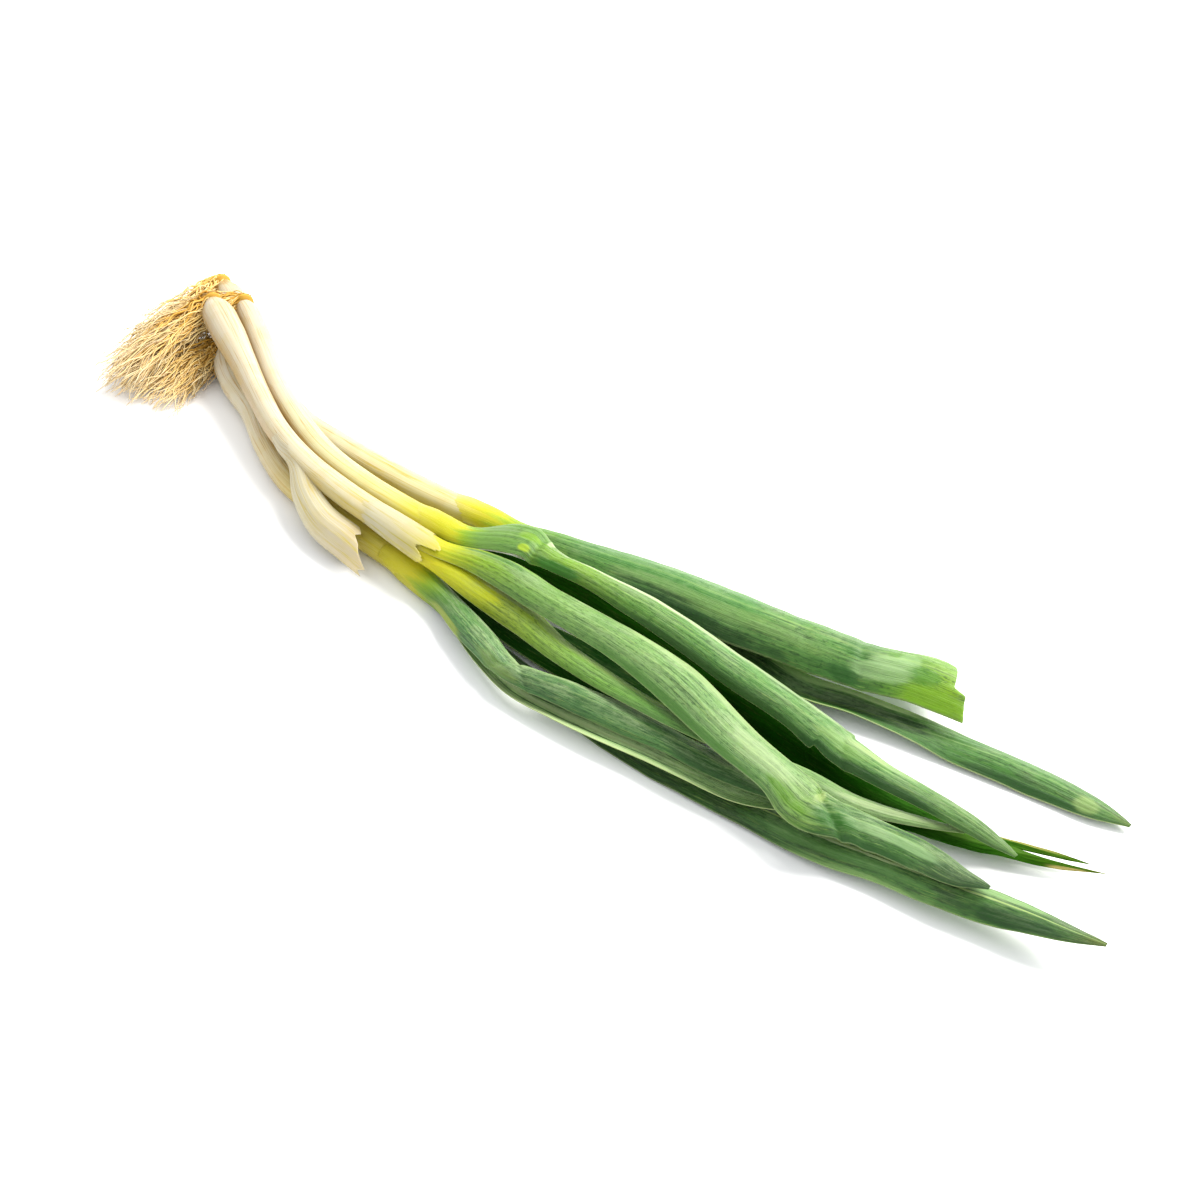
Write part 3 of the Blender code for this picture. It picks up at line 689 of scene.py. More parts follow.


# The first leek's leaves, at the front: a waxy one with a kink, a grooved one along its edge,
# the long dark one lowest of all, partly painted shade where the big leaf lies over it, and one
# more in the gap behind, painted near black-green as shade.
waxy_kinked_leaf = leaf_skin("waxy kinked leaf", [
    (-70, (226, 214, 60)), (-50, (222, 216, 20)), (-42, (140, 178, 20)), (-34, (96, 148, 44)),
    (-20, (100, 154, 92)), (2, (112, 160, 112)), (10, (80, 130, 78)), (60, (92, 146, 80)),
    (115, (70, 120, 64)),
], 3.0, bloom=0.7, dark=0.7, shade=0.3, washes=(
    # The pale wash along the far edge at 30 is a painted highlight.
    (-26, 16, 0.95, 0.4, (196, 204, 90), 0.7), (4, 14, 0.5, 0.6, (150, 176, 90), 0.5),
    (40, 60, 0.15, 0.25, (40, 96, 24), 0.8), (30, 50, -0.8, 0.3, (180, 206, 160), 0.7),
    (84, 30, 0.5, 0.5, (40, 96, 24), 0.8),
))
leaf_piece("leek_1_leaf_1", [
    (-52, -26, 7, 2.0, 20, 0), (-40, -28, 7.6, 3.0, 30, -5), (-24, -33.5, 9.8, 4.6, 40, -12),
    (-9, -39, 11, 4.8, 42, -12), (5, -43.6, 11, 4.0, 40, -12), (30, -40.6, 11, 5.2, 38, -12),
    (48, -38, 10.4, 5.3, 35, -10), (66, -36.8, 10, 4.6, 32, -8), (85, -36, 10, 4.6, 28, -6),
    (104, -35, 10.4, 3.0, 20, -5), (115, -35, 10, 0.8, 15, -5),
], waxy_kinked_leaf, ("leek_1", 70, 75, -66), keel=0.6, seed=3,
    creases=((4, -4, 2.2, 0.9), (12, 5, 1.6, 0.5)))
grooved_leaf = leaf_skin("grooved leaf", [
    (-70, (226, 214, 60)), (-46, (206, 206, 40)), (-36, (150, 184, 60)), (-10, (164, 206, 134)),
    (40, (206, 236, 184)), (112, (140, 186, 116)),
], 7.0, bloom=0.6, dark=0.45, shade=0.0, edge=0.9, washes=(
    # Its pale bands at 0.8 and -0.1 across are painted highlights, and its dark lines at 0.3 and -0.5
    # painted shade in the groove.
    (40, 70, 0.3, 0.14, (30, 84, 14), 1.0), (40, 70, 0.8, 0.3, (214, 230, 190), 0.9),
    (30, 60, -0.1, 0.2, (210, 226, 186), 0.9), (40, 70, -0.5, 0.12, (40, 92, 20), 0.9),
))
leaf_piece("leek_1_leaf_2", [
    (-50, -27, 4, 1.6, 10, 0), (-38, -29.5, 4, 2.4, 0, -5), (-22, -34, 3.6, 3.0, -20, -8),
    (-6, -40.4, 3.6, 3.4, -30, -8), (10, -45, 3.6, 3.7, -35, -8), (28, -45, 3.8, 4.0, -38, -8),
    (45, -43.6, 4.2, 4.4, -38, -8), (61, -42, 5, 4.4, -38, -8), (78, -41.4, 5.8, 4.2, -35, -8),
    (96, -40, 6.4, 3.4, -25, -8), (112, -35, 7, 0.8, -10, -5),
], grooved_leaf, ("leek_1", -20, 45, -62), keel=0.3, seed=7, reach=0.12)
lowest_leaf = leaf_skin("lowest leaf", [
    (-70, (200, 196, 110)), (-40, (120, 150, 60)), (0, (60, 104, 40)), (60, (56, 100, 44)),
    (130, (80, 130, 62)), (180, (80, 132, 58)), (205, (64, 112, 36)), (214, (120, 130, 60)),
], 11.0, bloom=0.3, dark=0.7, shade=0.0, keel_line_and_highlight=0.9, washes=(
    # Painted light and shade: the dark far half at 110 is the big leaf's shadow over it, the dark near half
    # at 186 is painted shade, and the pale far half at 184 and the pale line along the crest at 150 are
    # painted highlights.
    (110, 70, -0.5, 0.5, (30, 74, 14), 1.0), (184, 20, -0.45, 0.4, (150, 188, 130), 0.9),
    (186, 26, 0.6, 0.45, (28, 78, 8), 1.0), (150, 50, 0.04, 0.07, (210, 224, 186), 1.0),
    (140, 40, 0.92, 0.2, (156, 192, 130), 0.7), (128, 40, 0.45, 0.3, (104, 154, 86), 0.7),
))
leaf_piece("leek_1_leaf_3", [
    (-48, -27, 1.6, 1.6, 0, 0), (-36, -27, 1.1, 2.4, 0, 0), (-5, -33, 0.8, 3.6, 5, 0),
    (20, -37, 0.8, 4.4, 8, 0), (52, -40, 1.2, 5.8, 12, 0), (81, -39.6, 2.4, 6.4, 20, 0),
    (103, -38.4, 4.4, 7.0, 28, -4), (125, -37.5, 6.2, 7.8, 35, -4), (145, -34.8, 8, 6.8, 40, -4),
    (164, -33, 9.4, 6.8, 42, -4), (180, -30.3, 10.2, 6.6, 42, -4), (195, -28, 10.6, 5.2, 38, 0),
    (207, -26.6, 11, 2.8, 30, 0), (215, -25, 11, 0.8, 15, 0),
], lowest_leaf, ("leek_1", -80, 45, -58), keel=0.35, seed=11, reach=0.2)
# Painted shade: the hidden leaf is coloured near black-green for the shade of the gap it lies in.
hidden_leaf = leaf_skin("hidden leaf", [
    (-70, (210, 200, 110)), (-44, (120, 140, 40)), (-26, (36, 74, 34)), (30, (30, 68, 32)),
    (86, (20, 52, 18)),
], 15.0, bloom=0.05, dark=0.6, light=0.2, gloss=0.0)
leaf_piece("leek_1_leaf_4", [
    (-50, -23.4, 5.2, 1.6, 10, 0), (-38, -22.6, 5.2, 2.4, 15, 0), (-18, -22.5, 5.0, 6.0, 18, -3),
    (8, -22.4, 5.2, 8.6, 20, -4), (36, -22.2, 5, 8.6, 20, -4), (64, -21.5, 5, 6.5, 20, -4),
    (86, -21, 5, 0.8, 10, 0),
], hidden_leaf, ("leek_1", 160, 40, -60), seed=15, reach=0.12)


# The second leek's leaves: the big one in the middle, which bends sideways near its end, and
# a rolled one with a strong yellow base that passes under it.
# The pale washes along the far edge at 60 and 150 are painted highlights, the dark ones on the near edge at
# 64 and 140 painted shade; the darker greens past the kink at 122 are partly painted shade where the leaf
# twists away from the lamp.
big_leaf = leaf_skin("big leaf", [
    (-60, (240, 226, 150)), (-46, (226, 220, 20)), (-38, (196, 208, 10)), (-26, (160, 198, 40)),
    (-8, (140, 186, 90)), (20, (142, 186, 110)), (70, (138, 182, 116)), (105, (140, 184, 120)),
    (116, (148, 186, 110)), (122, (126, 168, 78)), (125, (64, 120, 24)), (136, (76, 130, 56)),
    (152, (78, 130, 60)), (162, (50, 98, 34)), (178, (40, 84, 26)),
], 19.0, bloom=0.5, dark=0.35, shade=0.25, washes=(
    (-18, 24, -0.5, 0.28, (56, 120, 0), 0.85), (98, 20, -0.1, 0.6, (214, 228, 196), 0.5),
    (112, 12, 0.4, 0.3, (110, 164, 10), 0.7), (60, 60, -0.9, 0.3, (196, 216, 170), 0.7),
    (64, 60, 0.85, 0.3, (84, 138, 50), 0.8), (121, 3, -0.5, 0.5, (196, 210, 150), 0.6),
    (152, 30, -0.35, 0.14, (26, 84, 8), 1.0), (128, 10, 0.2, 0.5, (50, 118, 6), 0.9),
    (146, 22, 0.2, 0.3, (160, 196, 150), 0.7), (150, 30, -0.9, 0.25, (160, 200, 120), 0.9),
    (140, 20, 0.95, 0.3, (40, 96, 20), 0.9),
))
leaf_piece("leek_2_leaf_1", [
    (-62, -18, 15.2, 2.0, 20, 0), (-50, -18, 15.8, 3.0, 30, -5), (-38, -17, 17.5, 4.2, 40, -10),
    (-22, -17.2, 20, 5.6, 42, -12), (4, -20.2, 21.6, 5.6, 40, -12), (30, -20.9, 22, 6.3, 38, -12),
    (58, -24.6, 22, 7.6, 36, -12), (86, -32.2, 21, 7.0, 34, -12), (106, -35.4, 19.2, 6.6, 32, -10),
    (120, -37.8, 17, 8.2, 32, -8), (131, -33.8, 15.5, 6.6, 42, -4), (143, -30.8, 14.5, 6.4, 48, 0),
    (157, -29.6, 14, 6.0, 48, 0), (170, -30.4, 13.6, 3.6, 42, 0), (178, -29.4, 13.2, 0.8, 20, 0),
], big_leaf, ("leek_2", 95, 55, -58), keel=0.6, seed=19,
    creases=((125, 7, 1.5, 1.1), (117, -3, 1.5, 0.4), (133, 6, 2.0, 0.4)))
rolled_leaf = leaf_skin("rolled leaf", [
    (-60, (242, 230, 130)), (-46, (236, 228, 30)), (-36, (230, 228, 0)), (-22, (222, 222, 0)),
    (-12, (200, 216, 40)), (6, (180, 216, 80)), (26, (150, 200, 90)), (60, (124, 180, 90)),
    (110, (150, 190, 126)), (157, (176, 202, 150)),
], 23.0, bloom=0.3, dark=0.25, light=0.3, shade=0.25, edge=0.6, washes=(
    (-26, 18, 0.0, 0.9, (226, 226, 0), 0.8), (134, 24, 0.0, 0.5, (206, 220, 190), 0.7),
    (30, 60, -0.5, 0.35, (190, 214, 130), 0.5),
))
leaf_piece("leek_2_leaf_2", [
    (-62, -21.5, 12.6, 2.0, 30, 0), (-50, -22, 13, 3.0, 45, -10), (-38, -22, 13.6, 4.2, 55, -15),
    (-22, -23.5, 14, 5.0, 58, -12), (-4, -25, 14, 5.4, 58, -12), (14, -29, 14, 4.3, 58, -12),
    (32, -31.2, 14.1, 4.0, 48, -10), (50, -32.2, 14.2, 3.4, 40, -4), (70, -32.2, 14.2, 2.8, 36, 0),
    (90, -28.8, 13.4, 3.2, 36, 0), (108, -24.8, 12, 3.6, 36, 0), (124, -22, 9.4, 3.6, 36, 0),
    (138, -18, 8.8, 2.8, 32, 0), (149, -14, 8.6, 1.8, 28, 0), (157, -11, 8.6, 0.8, 20, 0),
], rolled_leaf, ("leek_2", 10, 70, -58), keel=2.0, seed=23, reach=0.15)


# The third leek's leaves: a long one over the middle, bent over at its start and torn near
# its end, and one beneath it, painted near black as shade, whose end is split and dry.
# The pale washes along the far edge (at -14, 20, 52, 90, 119 and 124) are painted highlights on the crest,
# and the dark ones on the near flank (at 60, 106 and 128) painted shade.
long_leaf = leaf_skin("long leaf", [
    (-68, (238, 230, 120)), (-60, (230, 222, 70)), (-52, (216, 212, 0)), (-46, (212, 212, 0)),
    (-42, (150, 190, 10)), (-36, (126, 172, 76)), (-18, (126, 176, 84)), (-12, (140, 190, 20)),
    (2, (150, 196, 40)), (24, (120, 174, 76)), (60, (112, 168, 92)), (96, (118, 172, 96)),
    (130, (112, 166, 92)), (175, (110, 150, 80)),
], 27.0, bloom=0.4, dark=0.4, shade=0.45, washes=(
    (-19, 4, 0.5, 0.3, (190, 214, 0), 0.9), (-21, 5, -0.2, 0.3, (150, 196, 20), 0.7),
    (-14, 3, -0.9, 0.5, (220, 232, 200), 0.8), (-4, 13, 0.7, 0.6, (56, 128, 0), 1.0),
    (20, 34, -0.85, 0.4, (226, 234, 210), 0.9), (52, 34, -0.85, 0.35, (220, 230, 206), 0.8),
    (60, 60, 0.85, 0.35, (60, 112, 34), 0.9), (128, 26, 0.75, 0.4, (40, 92, 20), 1.0),
    (124, 20, -0.5, 0.4, (190, 214, 170), 0.7), (90, 30, -0.8, 0.3, (200, 214, 190), 0.7),
    (112, 14, 0.1, 0.4, (150, 190, 110), 0.6), (106, 16, 0.85, 0.3, (36, 92, 14), 0.9),
    (119, 10, -0.4, 0.3, (206, 220, 170), 0.6),
))
leaf_piece("leek_3_leaf_1", [
    (-60, -8, 14.2, 2.4, 20, 0), (-49, -8.4, 15, 4.4, 25, 0), (-38, -6.0, 18.2, 6.0, 25, -3),
    (-28, -3.8, 20.6, 6.8, 18, -5), (-20, -2.6, 21.6, 6.6, 18, -6), (-13, -4.0, 22, 5.0, 38, -8),
    (8, -3.2, 22, 4.1, 48, -10), (24, -3.4, 22, 5.1, 50, -12), (46, -4.2, 21, 5.6, 52, -12),
    (68, -6.6, 20, 5.9, 52, -12), (92, -8.8, 19, 5.6, 52, -10), (110, -10.8, 17.5, 6.8, 50, -8),
    (124, -11.2, 16, 5.2, 50, -6), (140, -10.1, 14, 4.3, 48, -4), (158, -9.4, 12, 3.6, 42, 0),
    (168, -10.4, 11, 2.4, 35, 0), (175, -11, 10, 0.8, 20, 0),
], long_leaf, ("leek_3", 90, 75, -66), keel=0.8, seed=27,
    creases=((-16, 2, 1.6, 1.1), (-8, -4, 1.5, 0.3), (112, 5, 1.6, 0.4)),
    tears=((1, 104, 9, 0.3), (-1, 111, 14, 0.34)))
# Painted shade: from -32 to 122 the split leaf is coloured near black, for the gap it lies in under the
# long leaf.
split_leaf = leaf_skin("split leaf", [
    (-60, (200, 196, 90)), (-46, (60, 90, 10)), (-32, (10, 34, 4)), (90, (12, 40, 6)),
    (122, (24, 66, 12)), (135, (60, 110, 40)), (165, (66, 116, 36)), (184, (90, 130, 40)),
    (190, (96, 122, 44)), (197, (196, 172, 110)),
], 31.0, bloom=0.0, dark=0.6, light=0.06, gloss=0.0, edge=0.0, keel_line_and_highlight=0.0, washes=(
    (170, 20, -0.8, 0.3, (206, 190, 130), 0.7), (160, 24, 0.2, 0.3, (120, 160, 80), 0.5),
    (186, 8, 0.9, 0.3, (220, 190, 140), 0.8),
))
leaf_piece("leek_3_leaf_2", [
    (-58, -8, 10.8, 2.0, 0, 0), (-46, -7, 10.4, 2.8, 10, 0), (-14, -2, 8.6, 5.2, 20, -5),
    (11, -2, 7.6, 6.4, 25, -5), (39, -5, 6.8, 6.8, 28, -5), (66, -7.6, 6.4, 6.8, 28, -5),
    (90, -10, 6, 6.6, 28, -5), (114, -12.6, 5.6, 6.2, 28, -5), (134, -13, 5, 5.6, 28, 0),
    (150, -10.2, 4.8, 5.0, 28, 0), (166, -4.9, 4.6, 4.4, 25, 0), (181, 0.4, 4, 3.2, 15, 0),
    (196, 7, 3, 1.6, 10, 0),
], split_leaf, ("leek_3", -90, 55, -62), seed=31, ends=(12, 5, 7, 12, 26, 11, 0, 3, 12), reach=0.5)


# The fourth leek's leaves, at the back: a broad one cut off raggedly, and a long one beneath
# it that is folded into a V and opens towards its tip.
# Its pale band at 0.35 across, from 40 on, is a painted highlight along the ridge, and the dark washes on
# the near flank at 30 and 78 are painted shade.
broad_leaf = leaf_skin("broad leaf", [
    (-68, (247, 238, 180)), (-58, (240, 230, 90)), (-50, (228, 222, 10)), (-42, (176, 204, 10)),
    (-30, (116, 174, 40)), (-10, (98, 156, 70)), (20, (104, 160, 86)), (70, (112, 164, 84)),
    (90, (84, 146, 66)), (104, (116, 166, 44)), (122, (146, 188, 0)),
], 35.0, bloom=0.3, dark=0.4, shade=0.0, washes=(
    (20, 60, -0.1, 0.5, (80, 146, 70), 0.6), (40, 70, 0.35, 0.24, (150, 186, 120), 0.5),
    (30, 50, 0.85, 0.45, (20, 74, 4), 0.85), (78, 26, 0.8, 0.4, (30, 88, 8), 0.3),
    (104, 5, -0.05, 0.3, (172, 204, 160), 0.55), (101, 9, 0.2, 0.3, (172, 204, 160), 0.6),
    (98, 13, 0.45, 0.3, (172, 204, 160), 0.65), (116, 18, 0.8, 0.4, (138, 184, 0), 0.8),
    (112, 12, -0.7, 0.5, (130, 176, 50), 0.8), (90, 8, -0.1, 0.4, (56, 120, 30), 0.8),
    (88, 8, 0.75, 0.3, (36, 100, 14), 0.8), (110, 8, 0.3, 0.3, (70, 140, 10), 0.6),
))
leaf_piece("leek_4_leaf_1", [
    (-58, 12, 7.2, 2.4, 20, 0), (-46, 11, 8, 3.4, 30, 0), (-26, 12, 12, 6.2, 38, 0),
    (0, 15, 14.5, 9.4, 42, 0), (24, 19.4, 15.5, 11.0, 45, 0), (48, 21.8, 16, 11.6, 46, 0),
    (72, 25.6, 16, 11.2, 46, 0), (92, 29.2, 15.8, 10.7, 44, 0), (108, 35.2, 15.2, 11.6, 40, 0),
    (128, 38.6, 14.4, 11.8, 36, 0),
], broad_leaf, ("leek_4", 90, 75, -66), keel=0.35, seed=35,
    creases=((90, 3, 1.5, 0.35), (70, 8, 2.5, 0.2)),
    ends=(21, 18, 15.5, 13.5, 12, 11, 10.3, 9.6, 9, 8.5, 8, 7.6, 7.3, 2.6, 2.4, 2, 1.4, 1, 0.3, 0))
# The pale washes on its lips at 50 and 100 are painted highlights, and the dark ones inside the V at 104
# and on the near side at 160 are painted shade.
rear_leaf = leaf_skin("rear leaf", [
    (-60, (220, 210, 110)), (-44, (150, 180, 50)), (-20, (60, 110, 40)), (60, (54, 104, 40)),
    (110, (84, 142, 60)), (150, (92, 150, 72)), (182, (100, 150, 76)), (190, (130, 150, 80)),
], 39.0, bloom=0.25, dark=0.6, light=0.35, shade=0.35, edge=0.9, washes=(
    (50, 70, -0.85, 0.3, (176, 204, 150), 0.9), (50, 70, 0.8, 0.3, (150, 186, 120), 0.8),
    (100, 30, -0.9, 0.25, (196, 216, 170), 1.0), (104, 34, 0.0, 0.7, (20, 66, 2), 1.0),
    (128, 16, -0.1, 0.25, (60, 120, 10), 0.8), (160, 34, 0.8, 0.3, (40, 92, 26), 0.9),
    (176, 6, 0.3, 0.6, (170, 196, 130), 0.7),
))
leaf_piece("leek_4_leaf_2", [
    (-54, 12, 3.4, 2.0, 0, 0), (-42, 12.5, 3, 2.8, 0, 0), (-4, 15.5, 1.6, 4.6, -20, 0),
    (30, 14.5, 1.2, 5.2, -35, 0), (56, 14.5, 1.2, 5.4, -48, 0), (77, 12.8, 1.6, 5.6, -48, 0),
    (96, 17.2, 2.2, 5.2, -40, 0), (114, 20.8, 3, 5.6, -10, 0), (131, 23.6, 4, 6.6, 25, 0),
    (148, 26, 4.6, 6.6, 38, 0), (165, 27.6, 4.2, 6.0, 38, 0), (180, 28, 3.4, 4.0, 30, 0),
    (190, 28.5, 2.2, 0.8, 20, 0),
], rear_leaf, ("leek_4", -90, 55, -58), keel=0.3, seed=39, reach=0.15)


# The torn outer sheath: a thin dry skin that has peeled off the second shank and hangs out
# to the front, torn across its end.
torn_sheath = shank_skin("torn sheath", [
    (-220, (240, 226, 196)), (-126, (240, 228, 196)), (-96, (240, 230, 196)), (-74, (238, 220, 186)),
    (-60, (236, 214, 176)),
], 0.3, 17.0, attribute="blade")
leaf_piece("leek_2_sheath", [
    (-126, -10, 16.4, 1.6, 20, -20), (-114, -15.6, 15.8, 3.6, 40, -30), (-102, -23.5, 12.8, 4.9, 48, -33),
    (-90, -28.6, 11.1, 5.8, 50, -35), (-76, -30.5, 10.0, 6.2, 48, -36), (-63, -32.6, 8.8, 5.6, 45, -35),
], torn_sheath, ("leek_2", 5, 50, -128), slot="sheath_cream", ends=(14, 11, 12, 8, 6, 3, 0, 3, 1),
    thickness=0.4, free=(-124, -106), keel=1.0, seed=43, reach=0.12)


# The ragged cream end of the second shank: its outer sheaths stop short in two torn tongues,
# and the two leaves come out between them.
COLLAR_ROWS = 60
COLLAR_COLUMNS = 97
COLLAR_START = -84
COLLAR_REACH = 175
COLLAR_WALL = 0.2
COLLAR_FLARE = 0.3
# The places along X where the collar ends, by turn in degrees: the tongues are at 84 and 12.
TONGUES = [
    (250, -56), (200, -54), (150, -51), (120, -49), (100, -44), (84, -41), (70, -43), (60, -48.5),
    (48, -50), (30, -46), (12, -44.5), (-14, -47), (-50, -52), (-110, -56),
]


def torn_collar(node, leek, skin, start, tongues, reach):
    """A thin shell round the end of a shank, from start to torn ends round its turns in degrees.

    It stands off the skin by STAND_OFF, sinks into it over its first 26 mm, and flares at the
    end by COLLAR_FLARE times the cube of the share along. Two sine waves fray the torn ends.
    """
    across = np.linspace(-1, 1, COLLAR_COLUMNS)[None, :]
    share = np.linspace(0, 1, COLLAR_ROWS)[:, None]
    turn = 90 - reach * across
    stops = np.interp(-turn[0], [-at for at, _ in tongues], [place for _, place in tongues])
    stops = stops + 0.5 * np.sin(0.9 * turn[0]) + 0.3 * np.sin(2.3 * turn[0] + 1)
    places = start + (stops - start) * share
    out = STAND_OFF - SINK * smooth_step(places, start + 26, start) + COLLAR_FLARE * share ** 3 + 0 * across
    turn = np.radians(turn) + 0 * share
    middle = shank_points(leek, places, turn, out)
    points, faces = thick_strap(middle, COLLAR_WALL)
    marks = np.stack((places / 100, np.cos(turn), np.sin(turn)), axis=-1)
    piece = lay_mesh(
        f"{node}_collar", (points + LAY) / 1000, faces, {"stem": np.tile(marks.reshape(-1, 3), (2, 1))},
    )
    piece.data.materials.append(skin.material)
    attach(piece, "root")
    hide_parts(node)


torn_end = shank_skin("torn collar", [
    (-220, (244, 234, 196)), (-74, (244, 234, 194)), (-60, (242, 228, 176)), (-52, (240, 226, 150)),
    (-44, (232, 220, 84)),
], 0.3, 21.0)
torn_collar("leek_2_shank", "leek_2", torn_end, COLLAR_START, TONGUES, COLLAR_REACH)


# The roots: a flat base plate on each plant with a dense brush of wiry, straw-coloured
# roots that dried in a tangle, brown where they leave the plate and cream at their tips;
# the dark brown at the plate is partly painted shade in the crowded base.

# For each plant: its plate's middle, the way the plate faces, the middle of the fan that the
# roots' tips reach, how far the fan spreads each way, and how pale the roots are.
TUFTS = {
    "leek_1": ((-188.4, 26.2, 6.4), (-0.86, 0.5, 0), (-189, -3, 4), (11, 13, 3.5), 0.0),
    "leek_2": ((-200.6, 32.0, 16.6), (-0.86, 0.5, 0), (-200, -3, 7), (10, 17, 6), 0.1),
    "leek_3": ((-192.5, 39.8, 15.4), (-0.78, 0.62, 0), (-207, 4, 9), (8, 22, 6), 0.4),
    "leek_4": ((-215.8, 50.7, 8), (-0.93, 0.37, 0), (-212, 10, 5), (8, 25, 4), 0.6),
}
STRANDS = 330
STRAND_POINTS = 34
STRAND_SIDES = 5
STRAND_THICK = (0.2, 0.44)
CUT_SHORT_SHARE = 0.35
# No root goes further out than these places towards -X, towards +Y and up.
ROOT_END, ROOT_SIDE, ROOT_TOP = -226.4, 53.4, 21.0
PLATE_RADIUS = 3.6
PLATE_DEPTH = 3.0
PLATE_RINGS = 10
PLATE_SIDES = 24
# The plate is coloured like a root this far along, of this kind among the roots and this pale.
PLATE_MARKS = (0.3, 0.3, 0.1)
ROOT_TONE = (0.78, 0.74, 0.62)


def strand_paths(tuft, draw, count):
    """Centre lines of a tuft's roots, as rows of points in mm, and how far along each is.

    Each is a cubic from a random place on the plate, led partly outwards and partly straight
    down, to a random place in the fan, with three waves added that grow from the plate on.
    """
    base, outward, target, spread = (np.array(item, dtype=float) for item in tuft[:4])
    outward = unit(outward)
    across = np.array((-outward[1], outward[0], 0.0))
    angle = draw.uniform(0, 2 * math.pi, count)
    radius = np.sqrt(draw.uniform(0, 1, count)) * PLATE_RADIUS
    start = base + outward * 0.8 + across * (radius * np.cos(angle))[:, None]
    start[:, 2] += radius * np.sin(angle)
    reach = draw.uniform(-1, 1, (count, 3))
    short = draw.uniform(0, 1, count) < CUT_SHORT_SHARE
    cut_short = np.where(short, draw.uniform(0.3, 0.7, count), 1.0)[:, None]
    tip = target + spread * reach
    tip[:, 0] -= 0.15 * (tip[:, 1] - target[1])
    low = start * (1, 1, 0.45)
    tip = low + (tip - low) * cut_short
    tip[:, 2] = np.maximum(0.6, tip[:, 2])
    lead = start + outward * draw.uniform(0.5, 7, count)[:, None]
    lead = lead + (tip - start) * draw.uniform(0.05, 0.35, count)[:, None]
    sag = start * 0.35 + tip * 0.65 + draw.normal(0, 2.6, (count, 3)) + np.array((0, 0, 1.5))
    along_it = np.linspace(0, 1, STRAND_POINTS)[None, :, None]
    path = (
        start[:, None] * (1 - along_it) ** 3 + 3 * lead[:, None] * along_it * (1 - along_it) ** 2
        + 3 * sag[:, None] * along_it ** 2 * (1 - along_it) + tip[:, None] * along_it ** 3
    )
    for waves, size in ((1.7, 1.0), (3.3, 0.7), (6.1, 0.36)):
        phase = draw.uniform(0, ROUND, (count, 1, 3))
        swing = size * draw.uniform(0.2, 1.0, (count, 1, 3))
        path = path + swing * np.sin(ROUND * waves * along_it + phase) * smooth_step(along_it, 0, 0.3)
    path[..., 0] = np.maximum(path[..., 0], ROOT_END + 0.03 * (path[..., 1] % 7))
    path[..., 1] = np.minimum(path[..., 1], ROOT_SIDE)
    path[..., 2] = np.clip(path[..., 2], STRAND_THICK[1] + 0.01, ROOT_TOP)
    return path, along_it[..., 0] + np.zeros((count, 1))


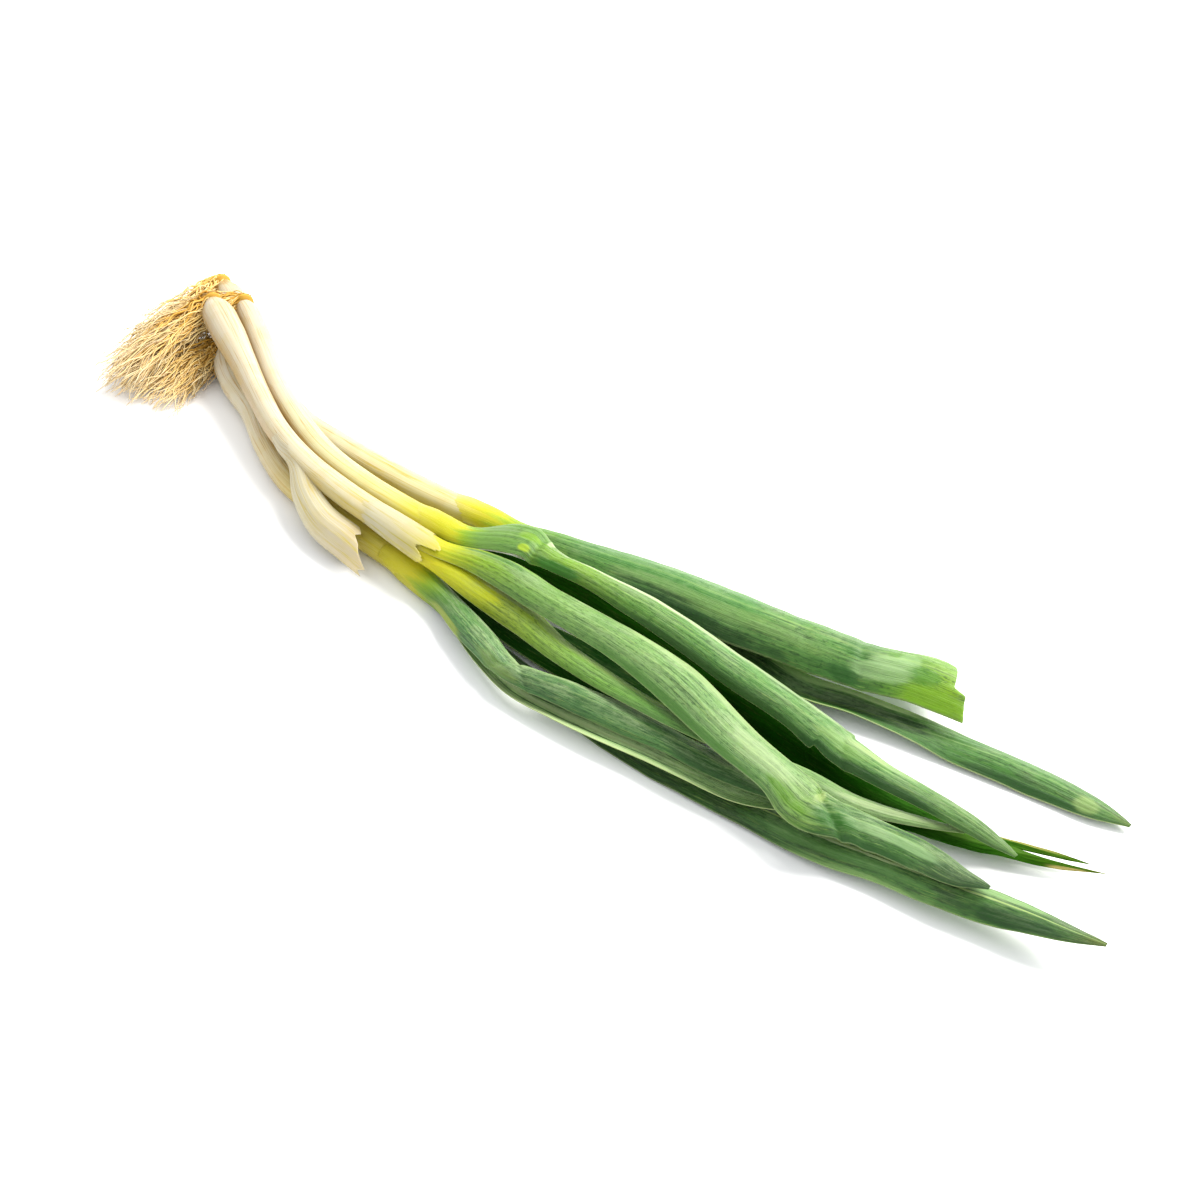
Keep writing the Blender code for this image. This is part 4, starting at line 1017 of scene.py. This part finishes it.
def root_tuft(leek, skin, draw):
    """The base plate, a shallow dome, and its roots, each a tapering tube, as one piece."""
    tuft = TUFTS[leek]
    path, done = strand_paths(tuft, draw, STRANDS)
    count = len(path)
    thick = draw.uniform(*STRAND_THICK, (count, 1)) * (1 - 0.6 * done)
    ahead = unit(np.gradient(path, axis=1))
    side = unit(np.cross(ahead, (0.3, 0.2, 1.0)))
    up = np.cross(side, ahead)
    turn = np.arange(STRAND_SIDES) / STRAND_SIDES * 2 * math.pi
    rings = (
        path[:, :, None] + side[:, :, None] * (thick[..., None] * np.cos(turn))[..., None]
        + up[:, :, None] * (thick[..., None] * np.sin(turn))[..., None]
    )
    rings[..., 2] = np.maximum(rings[..., 2], 0.05)
    one = quads(STRAND_POINTS, STRAND_SIDES, around=True)
    per = STRAND_POINTS * STRAND_SIDES
    faces = (one[None] + (np.arange(count) * per)[:, None, None]).reshape(-1, 4).tolist()
    cap = tuple(range(STRAND_SIDES))
    for number in range(count):
        faces.append(tuple(number * per + at for at in reversed(cap)))
        faces.append(tuple((number + 1) * per - STRAND_SIDES + at for at in cap))
    marks = np.stack((
        done[..., None] + 0 * turn, draw.uniform(0, 1, (count, 1, 1)) + 0 * done[..., None] + 0 * turn,
        tuft[4] + 0 * done[..., None] + 0 * turn,
    ), axis=-1).reshape(-1, 3)
    points = rings.reshape(-1, 3)
    base = np.array(tuft[0])
    outward = unit(np.array(tuft[1], dtype=float))
    across = np.cross(outward, (0.0, 0.0, 1.0))
    out = np.linspace(0, 1, PLATE_RINGS)
    size = PLATE_RADIUS * np.sqrt(np.clip(1 - (out * 0.995) ** 3, 0, 1))
    turn = np.arange(PLATE_SIDES) / PLATE_SIDES * 2 * math.pi
    plate = (
        base + outward * (out * PLATE_DEPTH - 0.5)[:, None, None]
        + across * (size[:, None] * np.cos(turn))[..., None]
        + np.array((0.0, 0.0, 1.0)) * (size[:, None] * np.sin(turn))[..., None]
    ).reshape(-1, 3)
    first = len(points)
    last = first + (PLATE_RINGS - 1) * PLATE_SIDES
    faces += (quads(PLATE_RINGS, PLATE_SIDES, around=True) + first).tolist()
    faces.append(tuple(first + at for at in reversed(range(PLATE_SIDES))))
    faces.append(tuple(last + at for at in range(PLATE_SIDES)))
    points = np.concatenate((points, plate))
    marks = np.concatenate((marks, np.tile(PLATE_MARKS, (len(plate), 1))))
    piece = lay_mesh(f"{leek}_root_brush", (points + LAY) / 1000, faces, {"strand": marks})
    piece.data.materials.append(skin.material)
    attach(piece, "root")
    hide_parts(f"{leek}_roots")


root_skin = Skin("straw roots", Roughness=0.6, Specular_IOR_Level=0.2)
done, own, pale = root_skin.marks("strand")
mottle = root_skin.noise(root_skin.place(), 420.0, 3.0)
# Dark brown near the plate: partly the roots' own colour, partly painted shade where they crowd together.
root_colour = root_skin.ramp(done + (mottle - 0.5) * 0.2 + pale * 0.5, [
    (0.0, paint(110, 74, 10)), (0.14, paint(156, 112, 26)), (0.38, paint(220, 174, 76)),
    (0.7, paint(244, 212, 140)), (1.0, paint(250, 234, 204)),
])
root_colour = root_skin.mix(own.step(0.62, 0.9) * 0.8, root_colour, paint(250, 230, 176))
root_colour = root_skin.mix(own.step(0.3, 0.0) * 0.5, root_colour, paint(176, 116, 16))
root_colour = root_skin.mix(1.0, root_colour, ROOT_TONE, "MULTIPLY")
root_skin.feed(root_skin.shader.inputs["Base Color"], root_colour)
root_skin.bump(mottle, 0.0001)
root_draw = np.random.default_rng(5)
for leek in TUFTS:
    root_tuft(leek, root_skin, root_draw)
